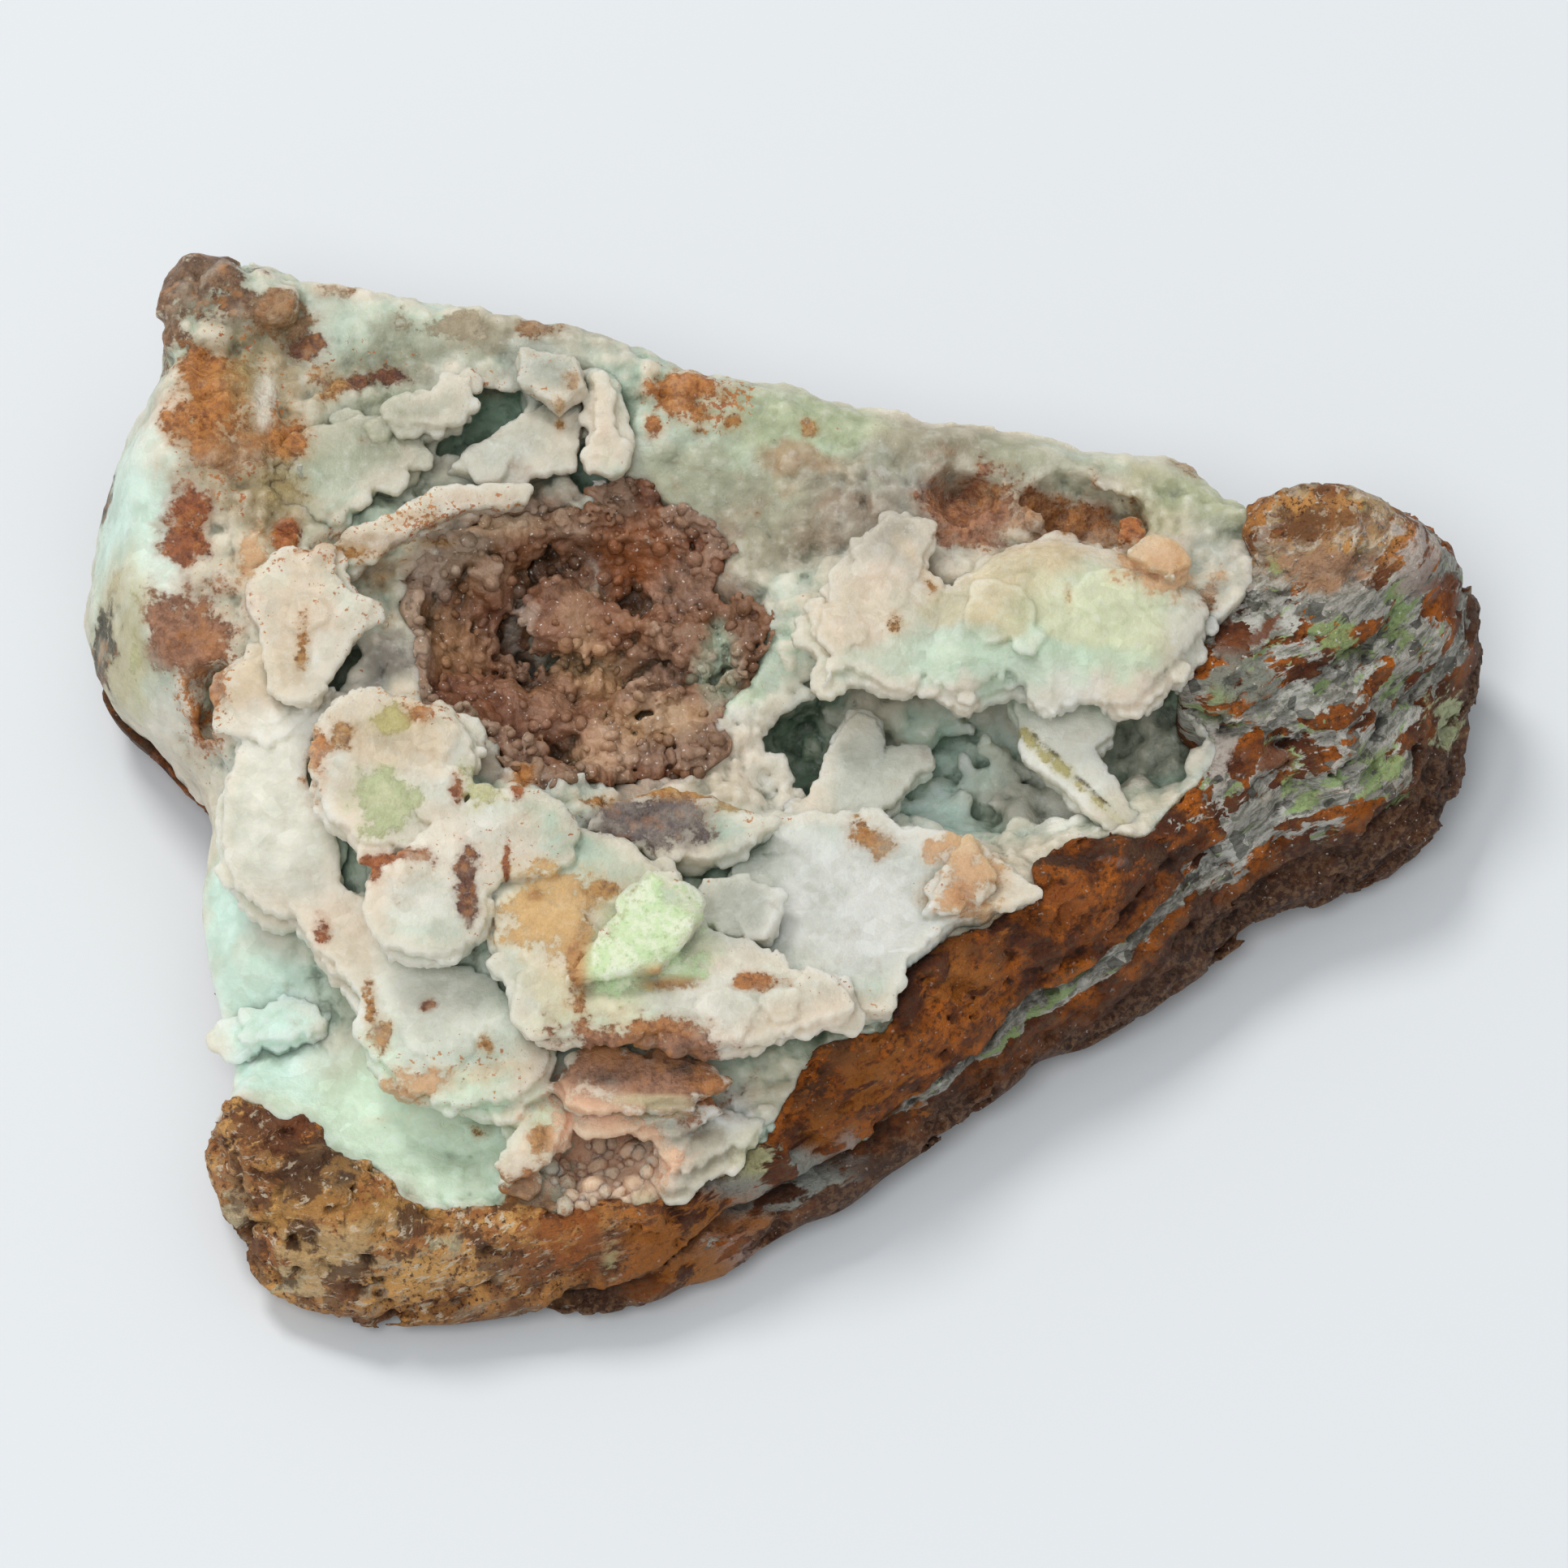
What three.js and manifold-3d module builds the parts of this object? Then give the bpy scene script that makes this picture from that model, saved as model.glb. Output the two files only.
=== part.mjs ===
// Smithsonite specimen: a pale green, waxy zinc carbonate crust with plates, ledges and open
// hollows, grown on a loose piece of banded brown limonite rock.
// Millimetres, +Z up, origin on the flat face that the specimen rests on.
// +X runs to the pointed right end, +Y to the high back rim.

import * as THREE from 'three';
import { mergeVertices } from 'three/addons/utils/BufferGeometryUtils.js';
import { ImprovedNoise } from 'three/addons/math/ImprovedNoise.js';
import Module from 'manifold-3d';

const wasm = await Module();
wasm.setup();

// Driving dimensions
const GAP = 0.3; // clear space between two minerals, so that their solids never touch
const CENTRE = [-6, 2]; // every ray from here in plan meets the outline once
const STATIONS = 56; // sections around the outline
const HEIGHT_REACH = 4.6; // how far a spot height spreads over the top surface
const TOP_OF_ALL = 60; // a level above everything
const FOOT_INSET = 5; // the rest face lies this far inside the outline
const FOOT_WAVE = { height: 1.5, size: 7 }; // how unevenly the edge of the rest face runs
const EDGE_WAVE = { height: 0.9, size: 3.6 }; // how unevenly the widest line runs
const CRUST_WAVE = { height: 0.5, size: 5 }; // gentle unevenness of the top surface
const ROCK_WAVE = { height: 1.1, size: 4.5 }; // knobbliness of the broken rock
const ROCK_WALL = { right_of: 8, front_of: -30 }; // where the wall above the widest line is rock
const FLOOR_REACH = 9; // how far a height of the crust's underside spreads
const PLATE_STEP = 3.2; // spacing of the points round a plate's edge
const PLATE_SCALLOP = 0.035; // how far its edge points lie out and in by turns
const PLATE_FOOT = 0.82; // reach of its underside, as a part of its outline
const PLATE_WAIST = 0.4; // depth of its widest line, as a part of its thickness
const PLATE_SHOULDER = 0.9; // reach of its top surface
const PLATE_MIDDLE = 0.5; // reach of the part of the top that stands out
const DOMED = 0.9; // a plate whose middle stands out by less than this is modelled flat
const LUMP_SIDES = 6; // sides of a small rounded lump
const LUMP_FLATNESS = 0.8; // height of a lump over its width
const EGG_ROUGHNESS = 0.16; // how uneven a hollow is, as a part of its size
const LARGE_EGG = { sides: 12, roughness: 0.1 }; // the central hollow
const SMALL_SIDES = 7; // sides of the other hollows

// Outline of the stone seen from above, clockwise from the knob at its back left corner:
// x, y, the height of the widest line there, and how wide the wall above that line is
const OUTLINE = [
  [-44, 36.5, 19, 3], [-39, 38, 19, 3], [-32, 36, 18, 3], [-24.5, 35, 18, 3], [-8, 30.5, 18, 3],
  [7, 26, 18, 3], [21.5, 23.5, 17, 3], [28.5, 22, 17, 3], [33.5, 18.5, 17, 3], [39, 19.5, 17, 4],
  [45, 19, 15, 5], [49.5, 16.5, 12, 6], [50, 10.5, 9, 8], [48.5, 4, 6, 9], [46.5, -1.5, 5, 9],
  [39.5, -5.5, 4, 10], [33.5, -8.5, 5, 9], [25, -15.5, 5, 8], [16, -20.5, 5, 7], [9, -26.5, 4, 6],
  [2, -31, 4, 6], [-3.5, -34.5, 3, 6], [-10, -37.5, 3, 5], [-18, -38, 3, 5], [-26, -39, 3, 5],
  [-35, -37, 3, 5], [-39.5, -30, 4, 4], [-40.5, -27, 5, 3], [-38.5, -22, 6, 3], [-39.5, -17, 7, 3],
  [-41, -8.5, 8, 4], [-41, -1, 9, 5], [-44.5, 3.5, 10, 4], [-49.4, 10, 8, 5], [-49.5, 18, 9, 5],
  [-48.5, 25.5, 11, 5], [-45, 32.5, 14, 4],
];

// Heights of the top surface at places that stand out: x, y, z
const SPOT_HEIGHTS = [
  // crest of the back rim
  [-42, 35, 20], [-37, 33.5, 21], [-30, 31.5, 21], [-22.5, 30.5, 21], [-15.5, 29, 21],
  [-9.5, 27, 21], [-4, 25, 20.5], [2, 24, 20.5], [7.5, 22.5, 20], [13.5, 21.5, 20],
  [19.5, 20.5, 19.5], [25, 19, 19], [30, 17.5, 18.5],
  // stained slab behind the left face, and the left face itself
  [-41, 28, 21], [-40.5, 21.5, 21.5], [-36.5, 18, 21], [-33, 27.5, 20], [-28, 24, 19.5],
  [-30, 19, 19], [-44.5, 14, 18], [-41.5, 6.5, 18], [-43, 0.5, 14], [-40.5, -4, 12], [-38, -9, 10],
  // ground under the pink plates and the middle ones
  [-35.5, 12, 19.5], [-32.5, 6, 18.5], [-33.5, -0.5, 17], [-35.5, -6, 15], [-35, -10, 12.5],
  [-28, 17, 18.5], [-28, 10, 17.5], [-27.5, -0.5, 18], [-23, -7, 17.5], [-23, -13, 17],
  [-18.5, -13, 17], [-15, -16.5, 16.5], [-9.5, -16, 16], [-9.5, -21.5, 14.5], [-18.5, -21, 13.5],
  [-25, -21, 12.5],
  // edge of the central hollow, and the slope that comes down to it from the back rim
  [-23.5, 20, 17.5], [-15.5, 20, 17], [-8, 19.5, 16.5], [-2, 17.5, 16.5], [-0.5, 10.5, 16.5],
  [-1, 4.5, 14.5], [-13, 22, 18], [-6.5, 23, 19.5], [2, 21, 18.5], [2, 16.5, 17.5],
  [6.5, 19.5, 18], [13.5, 18.5, 17.5], [22, 17.5, 17], [28, 16, 17],
  // domed ledge and the open space in front of it
  [16.5, 10, 18], [25, 9.5, 18], [7.5, 9, 17], [30, 9.5, 17.5], [4, -0.5, 11], [12, -1, 10.5],
  [19, -1.5, 10.5], [26, 0, 11.5], [10, 3, 11], [20, 3, 11],
  // ground under the large front plate and the steps below it
  [2, -11.5, 14], [10.5, -11.5, 14], [-1, -8, 14], [-5, -19, 13.5], [-1, -22.5, 12],
  [-6.5, -26.5, 9.5], [-11.5, -25.5, 10.5], [-15, -29.5, 8.5],
  // smooth bowl at the lower left, and the brown corner round it
  [-38, -13.5, 9], [-38, -19, 7.5], [-33.5, -22, 7], [-27.5, -26, 7], [-22, -28.5, 7],
  [-20.5, -31, 7.5], [-36, -28, 10], [-29, -34, 10], [-20.5, -35.5, 9], [-15, -35, 9.5],
  [-11, -34.5, 8.5],
  // banded right end and the front wall's top
  [34, 16, 19.5], [39.5, 15, 20.5], [44, 13.5, 19], [36.5, 8.5, 19], [33.5, 3.5, 17],
  [42, 5, 14.5], [36.5, -2, 12], [30.5, -5, 13.5], [25, -7.5, 13.5], [19, -11.5, 14.5],
  [13, -15.5, 15], [9.5, -18, 15], [6.5, -23, 13], [2, -27, 11],
];

// Edge of the pale crust in plan, where it ends over the brown rock; on the left and at the
// back it runs past the outline, because the crust reaches the edge of the stone there
const CRUST_EDGE = [
  [-46, 50], [34, 30], [33.5, 18.5], [32.5, 12], [28, 5], [30.5, 0.5], [27, -4], [19, -8],
  [17.5, -12], [12, -15], [8, -18], [7, -21.5], [2, -23.5], [-0.5, -27.5], [-4.5, -30],
  [-9, -32.5], [-15, -33], [-25, -33], [-29.5, -29.5], [-34, -26], [-46, -24], [-60, 2],
];

// Heights of the underside of the crust, where it meets the rock: x, y, z
const CRUST_FLOOR = [
  [-44, 36, 12], [-20, 33, 12], [5, 27, 12], [30, 21, 12.5], [-50, 15, 4.5], [-47, 3, 5],
  [-41, -10, 5], [-38, -23, 4.5], [-26, -33, 4.5], [-9, -32.5, 4.5], [0, -26.5, 8],
  [8, -18, 12], [18, -11, 12], [25, -5, 8.5], [30, 0, 8.5], [33, 9, 14.5], [27, 3, 5],
  [-28, -16, 4], [-15, 8, 3.5], [14, 3, 3.2], [5, -10, 6], [-34, 14, 6],
];

// Hollows: centre, half sizes along X, Y and Z, and a turn about Z in degrees
const CENTRAL_HOLLOW = { at: [-14, 8, 17.5], half: [12.8, 12, 7.6], turn: -8 };
const HOLLOWS = {
  under_ledge: { at: [14, 3.6, 11.4], half: [13, 7.4, 5.4], turn: -4 },
  left_of_blade: { at: [2.6, 2.4, 10.6], half: [4.6, 5.2, 4.6], turn: 20 },
  right_pocket: { at: [25.4, 3, 13], half: [4.2, 4.2, 3.8], turn: 0 },
  left_slot: { at: [-21.6, 25.4, 18], half: [3.4, 2.2, 4.5], turn: 35 },
  right_slot: { at: [-13.2, 22.2, 17.5], half: [2.6, 1.3, 4], turn: 15 },
  gap_by_plate: { at: [-32.4, 3.4, 18], half: [1.5, 3.4, 4], turn: -40 },
  left_pit: { at: [-40.6, 3.6, 17], half: [1.9, 2.6, 5], turn: 0 },
  small_recess: { at: [12.4, 18.6, 18.6], half: [2.5, 2.2, 2.4], turn: 0 },
  long_recess: { at: [21.5, 17.4, 18.2], half: [4.2, 2.2, 2.6], turn: -10 },
  lower_pocket: { at: [-12.5, -29.2, 10], half: [4.2, 3.2, 4], turn: 0 },
};

// Plates and ledges of the crust. outline: x, y round the edge; top: height of the middle;
// lean: rise per millimetre along X and Y; dome: how much the middle stands above the edge
// (below it, where negative); thick: thickness
const PLATES = {
  long_bar: {
    outline: [[-33, 12], [-30.5, 11], [-25.5, 14.5], [-22.5, 16], [-18.5, 16.5], [-18, 17.5],
      [-24.5, 17.5], [-30, 14.5]],
    top: 21.8, lean: [0, 0.1], dome: 0, thick: 4,
  },
  pink_plate: {
    outline: [[-35.5, 11.5], [-31.5, 12], [-30.5, 9], [-28.5, 8], [-30.5, 4], [-33, 0.5],
      [-35.5, 1], [-36.5, 5], [-38, 9.5]],
    top: 22, lean: [0.1, 0.12], dome: 0.6, thick: 4,
  },
  lower_pink_plate: {
    outline: [[-40, 3], [-36.5, 6], [-35, 3], [-33.5, 1], [-36, -1.5], [-39.5, 0]],
    top: 19, lean: [0.1, 0.15], dome: 0.3, thick: 3.2,
  },
  white_left_plate: {
    outline: [[-38, -0.5], [-35.5, 0.5], [-31.5, 2.5], [-33.5, -2.5], [-31, -8.5], [-31.5, -12],
      [-35.5, -13.5], [-38.5, -11], [-40, -6]],
    top: 16.8, lean: [0.1, 0.3], dome: 0.8, thick: 4,
  },
  core_plate: {
    outline: [[-30.5, 0.5], [-33.5, -4], [-32, -8], [-28.5, -11.5], [-25, -9.5], [-21.5, -4.5],
      [-22, -1], [-26, 0.5]],
    top: 21, lean: [-0.05, 0.15], dome: 0.9, thick: 4.4,
  },
  white_mid_plate: {
    outline: [[-29, -13.5], [-25, -10], [-18.5, -6.5], [-14.5, -9], [-15.5, -12], [-20, -14],
      [-21, -17.5], [-24.5, -19], [-28, -18]],
    top: 20, lean: [-0.05, 0.15], dome: 0.7, thick: 4,
  },
  front_ledge: {
    outline: [[-20, -12.5], [-18.5, -9.5], [-13, -9], [-8, -11.5], [-5, -16], [0, -18.5], [4, -20],
      [5, -22.5], [0, -24], [-4.5, -25], [-10.5, -24.5], [-17, -24.5], [-20, -20]],
    top: 18.2, lean: [-0.02, 0.12], dome: 0.6, thick: 4.4,
  },
  broken_crystal: {
    outline: [[-15, -21], [-13, -18], [-9.5, -13], [-7.5, -13], [-5.5, -16.5], [-8.5, -20.5]],
    top: 20.4, lean: [0.05, 0.15], dome: 0.4, thick: 3.6,
  },
  big_plate: {
    outline: [[-3, -7], [2, -5.5], [7, -6], [13.5, -8.5], [18, -12.5], [12, -14.5], [8.5, -17.5],
      [7.5, -21.5], [3, -22], [-2, -19], [-4.5, -12.5]],
    top: 16.2, lean: [0.02, 0.02], dome: -1, thick: 3,
  },
  orange_end: {
    outline: [[10, -14.2], [11, -11], [13, -8.8], [14.6, -11], [13.8, -13.6]],
    top: 17.4, lean: [0, 0.1], dome: 0.3, thick: 2,
  },
  sub_plate: {
    outline: [[-6, -12], [-3, -11.5], [0, -13.5], [-1, -16.5], [-4.5, -16.5]],
    top: 17.8, lean: [0, 0.1], dome: 0.4, thick: 3,
  },
  grey_plate: {
    outline: [[-13, -6.5], [-9, -5], [-5, -5.5], [-0.5, -7.5], [-3, -10], [-6, -11], [-10.5, -9.5],
      [-14, -8.5]],
    top: 18, lean: [0, 0.15], dome: 0.6, thick: 3.4,
  },
  branch_blade: {
    outline: [[-1, -4], [2, -1.5], [3.5, 2], [6, 4], [7.2, 1.4], [10.5, 1], [9, -2], [6.5, -4.5],
      [2, -5.5]],
    top: 13.4, lean: [0, 0.05], dome: 0.3, thick: 2.6,
  },
  broken_plate: {
    outline: [[15.5, 6.5], [18.5, 5], [21.5, 2.5], [23.6, 4.6], [23, 0.5], [26, -4.8], [22, -3.5],
      [16.5, 0.5]],
    top: 14.6, lean: [-0.15, 0.15], dome: 0, thick: 3,
  },
  domed_ledge: {
    outline: [[25, 2], [20.5, 2], [18.5, 1.2], [16, 3], [12.5, 1.8], [9.5, 3.5], [9.5, 7],
      [12, 11.5], [18, 15], [22, 14.5], [28, 12], [30.5, 8.5], [28.5, 4.5]],
    top: 19.2, lean: [-0.03, 0.05], dome: 1.6, thick: 4.2,
  },
  white_lobes: {
    outline: [[9.5, 2.5], [6.5, 2.6], [5, 3.2], [2.5, 2], [2.2, 5], [1, 7.5], [3, 10], [7, 12],
      [11, 11], [10.5, 7]],
    top: 19.6, lean: [-0.02, 0.05], dome: 0.8, thick: 3.6,
  },
  grey_lobes: {
    outline: [[4, 10], [5.5, 15], [8, 16.5], [10.5, 14.5], [8.5, 10.5]],
    top: 20.4, lean: [0, 0.1], dome: 0.5, thick: 3,
  },
  peach_plate: {
    outline: [[24.5, 12.6], [27, 13.8], [29, 12], [27.5, 10]],
    top: 21.4, lean: [0, 0.1], dome: 0.3, thick: 3.4,
  },
  amber_chip: {
    outline: [[23.5, 16], [26, 15], [25.5, 13.5], [23.4, 14]],
    top: 20.6, lean: [0, 0], dome: 0.3, thick: 3.6,
  },
  hex_plate: {
    outline: [[-19, 28.8], [-14.5, 28], [-14, 25.5], [-16, 24], [-19, 26]],
    top: 22.6, lean: [0, 0.1], dome: 0.2, thick: 3,
  },
  knob_ridge: {
    outline: [[-14, 27.5], [-12.4, 27.5], [-10.8, 22.5], [-12, 19.5], [-13.6, 20.4], [-14, 24]],
    top: 21.2, lean: [0, 0.15], dome: 0.4, thick: 4,
  },
  mint_plate: {
    outline: [[-24.5, 20.6], [-19, 24.4], [-16, 26.3], [-14.2, 25.5], [-15, 20.5], [-20, 19.8]],
    top: 19.8, lean: [0.05, 0.1], dome: 0.3, thick: 3.4,
  },
  scalloped_lip: {
    outline: [[-29.5, 23], [-25.5, 26], [-22, 27], [-22.8, 23.5], [-25, 22.3]],
    top: 21.8, lean: [0, 0.1], dome: 0.4, thick: 3.4,
  },
  left_shelf: {
    outline: [[-34, 23.5], [-26.5, 24], [-25.5, 20], [-29.5, 18], [-33, 14.8], [-36.5, 18.5]],
    top: 20.4, lean: [0, 0.06], dome: 0.5, thick: 3,
  },
  bowl_ridge: {
    outline: [[-39.3, -20], [-37, -17.2], [-32.6, -17], [-32, -19], [-36, -20.2]],
    top: 9.6, lean: [0, 0.1], dome: 0.4, thick: 3,
  },
  bowl_shelf: {
    outline: [[-35, -12], [-31.5, -17], [-29.5, -20.5], [-28, -25.5], [-24, -27.5], [-19, -28],
      [-16, -25], [-19.5, -19], [-26, -15.5], [-30, -11.5]],
    top: 14.6, lean: [0.06, 0.14], dome: 0.5, thick: 4,
  },
  limonite_shelf: {
    outline: [[-16, -26.2], [-13.5, -23.8], [-7, -24.4], [-3.6, -26.2], [-6.5, -28], [-14, -28.4]],
    top: 14.6, lean: [0, 0.1], dome: 0.4, thick: 3,
  },
  lower_post: {
    outline: [[-18.5, -27], [-15.4, -26], [-15.4, -30], [-19, -32.4]],
    top: 12.4, lean: [0, 0.1], dome: 0.6, thick: 6,
  },
  corner_lobes: {
    outline: [[-8.5, -28], [-3.5, -27], [-0.5, -27.6], [-2.4, -29.4], [-8, -32.2]],
    top: 11.2, lean: [0, 0.1], dome: 0.5, thick: 4,
  },
};

// Rounded lumps grown on the crust: x, y, z, radius
const CRUST_LUMPS = [
  // knob at the back left corner
  [-42, 35, 19.2, 3.2], [-38, 33.6, 20, 3.2], [-41.6, 31, 20.2, 2.8],
  // scalloped lip of the domed ledge
  [23.4, 3.4, 17.4, 2.4], [17.2, 3.6, 17.4, 2.4],
  // pink grains in the pocket near the front
  [-13.8, -28.8, 7.6, 2], [-11, -30.2, 7.6, 2], [-13.8, -31.6, 7.8, 1.7],
];

// Lobes inside the central hollow: x, y, z, half sizes along X, Y and Z
const HOLLOW_LOBES = [
  [-15, 11.4, 12.6, 4, 2.4, 3], [-9, 3, 13.4, 3.2, 2.2, 2.6], [-13.6, 0, 13, 3, 2.8, 2.8],
  [-21, 3.6, 12.4, 3, 2.4, 2.6], [-6.2, 10, 13, 2.8, 3, 2.8], [-22, 13.4, 13.4, 2.8, 2.8, 2.6],
];
const HOLLOW_HOLE = { at: [-18.8, 9.6, 11.6], half: [1.8, 2.4, 3], turn: 10 };
const LINING = { side: 1.3, lift: 2.4, deeper: 0.7, roughness: 0.14 }; // thickness and bowl shape
const LOBE = { sides: 6, roughness: 0.2 };
const HOLLOW_GRAINS = { count: 5, radius: 0.9, spread: 0.7, seed: 4711 }; // on the lining

// Levels at which the stone is drawn: parts of the way up the wall below the widest line and
// above it, and parts of the way from the top of the wall to the centre
const UNDER_LEVELS = [[0.36, 0.34], [0.12, 0.7]]; // part of the foot inset, part of the height
const WALL_LEVELS = [0.2, 0.45, 0.72];
const INNER_LEVELS = [0.16, 0.36, 0.64];
const FLOOR_LEVELS = [0.5, 0.8, 1];

// Layers of the brown rock: pitch across the layers, how far a hard layer stands out, and the
// rise of the layers towards the right end
const LAYER_PITCH = 5.2;
const LAYER_RELIEF = 1.5;
const LAYER_RISE = 0.33;
const LAYER_DIP = 0.25;
const HARD_SHARE = 0.62; // part of the pitch that is hard rock
const LAYER_BEND = { height: 1.2, size: 11 }; // how far the layers wander
const LAYER_PATCHES = 6; // size of the patches where the relief is stronger or weaker

const noise = new ImprovedNoise();
const bumps = (x, y, z, size) => noise.noise(x / size + 7.3, y / size + 3.1, z / size + 5.7);
const waves = ({ height, size }, x, y, z) => height * bumps(x, y, z, size);

const mix = (a, b, t) => a + (b - a) * t;

// A closed curve through a list of points
const closedCurve = (points) => new THREE.CatmullRomCurve3(
  points.map((p) => new THREE.Vector3(p[0], p[1], p[2] ?? 0)), true, 'centripetal');

// Points along a closed curve at even steps
const evenly = (points, count) => closedCurve(points).getSpacedPoints(count).slice(0, count);

// Sections round the stone, counterclockwise: the widest line and the width of the wall there
function stoneSections() {
  const line = closedCurve(OUTLINE);
  const widths = closedCurve(OUTLINE.map((p) => [p[3], 0]));
  return Array.from({ length: STATIONS }, (_, i) => {
    const part = line.getUtoTmapping(1 - (i + 1) / STATIONS);
    const { x, y, z } = line.getPoint(part);
    const away = Math.hypot(x - CENTRE[0], y - CENTRE[1]);
    const at = (inset) => [mix(x, CENTRE[0], inset / away), mix(y, CENTRE[1], inset / away)];
    return { x, y, z, away, at, width: widths.getPoint(part).x };
  });
}

// Height at x, y from spot heights, each weighted by its nearness
function heightAt(spots, reach, x, y) {
  let weights = 0;
  let total = 0;
  for (const [sx, sy, sz] of spots) {
    const distance = Math.hypot(x - sx, y - sy) / reach;
    const weight = Math.exp(-distance * distance) + 1e-6 / (1 + distance ** 4);
    weights += weight;
    total += weight * sz;
  }
  return total / weights;
}

const topAt = (x, y) => heightAt(SPOT_HEIGHTS, HEIGHT_REACH, x, y)
  + waves(CRUST_WAVE, x, y, 0);

const crustFloorAt = (x, y) => heightAt(CRUST_FLOOR, FLOOR_REACH, x, y);

// A closed solid from a flat list of triangle corners
function solidFrom(positions) {
  const geometry = new THREE.BufferGeometry();
  geometry.setAttribute('position', new THREE.Float32BufferAttribute(positions, 3));
  return solidOf(geometry);
}

// A closed solid from a three.js geometry
function solidOf(geometry) {
  const bare = geometry.clone();
  bare.deleteAttribute('normal');
  bare.deleteAttribute('uv');
  const merged = mergeVertices(bare, 1e-4);
  return new wasm.Manifold(new wasm.Mesh({
    numProp: 3,
    vertProperties: new Float32Array(merged.attributes.position.array),
    triVerts: new Uint32Array(merged.index.array),
  }));
}

// A solid skinned over rings of equal point counts, listed from the bottom to the top, each
// counterclockwise seen from above; the end rings are closed by a point or by a flat cap
function skin(rings, bottom, top) {
  const positions = [];
  const corner = (p) => positions.push(p[0], p[1], p[2]);
  const triangle = (a, b, c) => [a, b, c].forEach(corner);
  for (let level = 0; level < rings.length - 1; level += 1) {
    const low = rings[level];
    const high = rings[level + 1];
    for (let i = 0; i < low.length; i += 1) {
      const j = (i + 1) % low.length;
      triangle(low[i], low[j], high[j]);
      triangle(low[i], high[j], high[i]);
    }
  }
  const close = (ring, tip, upward) => {
    const flat = ring.map((p) => new THREE.Vector2(p[0], p[1]));
    const faces = tip
      ? ring.map((p, i) => [p, ring[(i + 1) % ring.length], tip])
      : THREE.ShapeUtils.triangulateShape(flat, []).map((face) => face.map((k) => ring[k]));
    for (const [a, b, c] of faces) {
      if (upward) triangle(a, b, c);
      else triangle(c, b, a);
    }
  };
  close(rings[0], bottom, false);
  close(rings[rings.length - 1], top, true);
  return solidFrom(positions);
}

// The relief of the rock's layers at a point: hard layers stand out, soft ones sink in
function layerRelief(x, y, z) {
  const across = z - LAYER_RISE * x + LAYER_DIP * y + waves(LAYER_BEND, x, y, z);
  const phase = across / LAYER_PITCH - Math.floor(across / LAYER_PITCH);
  const strength = 0.6 + 0.8 * Math.abs(bumps(x, y, z, LAYER_PATCHES));
  return LAYER_RELIEF * (phase < HARD_SHARE ? 1 : -1) * strength;
}

// A point of broken rock, moved out or in by the layers and the knobbly break
function rocky([x, y, z]) {
  const away = Math.hypot(x - CENTRE[0], y - CENTRE[1]);
  const push = (layerRelief(x, y, z) + waves(ROCK_WAVE, x, y, z)) / away;
  return [x + (x - CENTRE[0]) * push, y + (y - CENTRE[1]) * push, z];
}

// The whole stone before it is parted into crust and rock
function wholeStone() {
  const sections = stoneSections();
  const foot = sections.map((s) => [...s.at(FOOT_INSET + waves(FOOT_WAVE, s.x, s.y, 0)), 0]);
  const under = UNDER_LEVELS.map(([inset, rise]) => sections.map(
    (s) => rocky([...s.at(inset * FOOT_INSET), rise * s.z])));
  const edge = sections.map((s) => [...s.at(waves(EDGE_WAVE, s.x, s.y, 0)), s.z]);
  const wall = WALL_LEVELS.map((part) => sections.map((s) => {
    const [x, y] = s.at(s.width * part);
    const z = mix(s.z, topAt(...s.at(s.width)), Math.sin(part * Math.PI / 2));
    const inRock = x > ROCK_WALL.right_of || y < ROCK_WALL.front_of;
    return inRock ? rocky([x, y, z]) : [x, y, z];
  }));
  const inner = [0, ...INNER_LEVELS].map((part) => sections.map((s) => {
    const [x, y] = s.at(mix(s.width, s.away, part));
    return [x, y, topAt(x, y)];
  }));
  const tip = [...CENTRE, topAt(...CENTRE)];
  return skin([foot, ...under, edge, ...wall, ...inner], [...CENTRE, 0], tip);
}

// Everything above the underside of the crust and inside its edge, grown by a clearance
function crustSpace(grow) {
  const edge = evenly(CRUST_EDGE, STATIONS).reverse();
  const at = (part) => edge.map((p) => {
    const away = Math.hypot(p.x - CENTRE[0], p.y - CENTRE[1]);
    const reach = part * (1 + grow / away);
    return [mix(CENTRE[0], p.x, reach), mix(CENTRE[1], p.y, reach)];
  });
  const floor = FLOOR_LEVELS.map((part) => at(part).map(
    ([x, y]) => [x, y, crustFloorAt(x, y) - grow]));
  const top = at(1).map(([x, y]) => [x, y, TOP_OF_ALL]);
  const middle = crustFloorAt(...CENTRE) - grow;
  return skin([...floor, top], [...CENTRE, middle], [...CENTRE, TOP_OF_ALL]);
}

// An egg shape with an uneven surface
function unevenEgg({ at, half, turn }, shrink, sides, roughness) {
  const geometry = new THREE.SphereGeometry(1, sides, Math.round(sides * 0.7));
  const position = geometry.attributes.position;
  const point = new THREE.Vector3();
  const axis = new THREE.Vector3(0, 0, 1);
  for (let i = 0; i < position.count; i += 1) {
    point.fromBufferAttribute(position, i);
    const wave = 1 + roughness * bumps(point.x * 3 + at[0], point.y * 3 + at[1], point.z * 3, 1.4);
    point.multiply(new THREE.Vector3(half[0] - shrink, half[1] - shrink, half[2] - shrink));
    point.multiplyScalar(wave).applyAxisAngle(axis, THREE.MathUtils.degToRad(turn));
    position.setXYZ(i, point.x + at[0], point.y + at[1], point.z + at[2]);
  }
  return solidOf(geometry);
}

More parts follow.
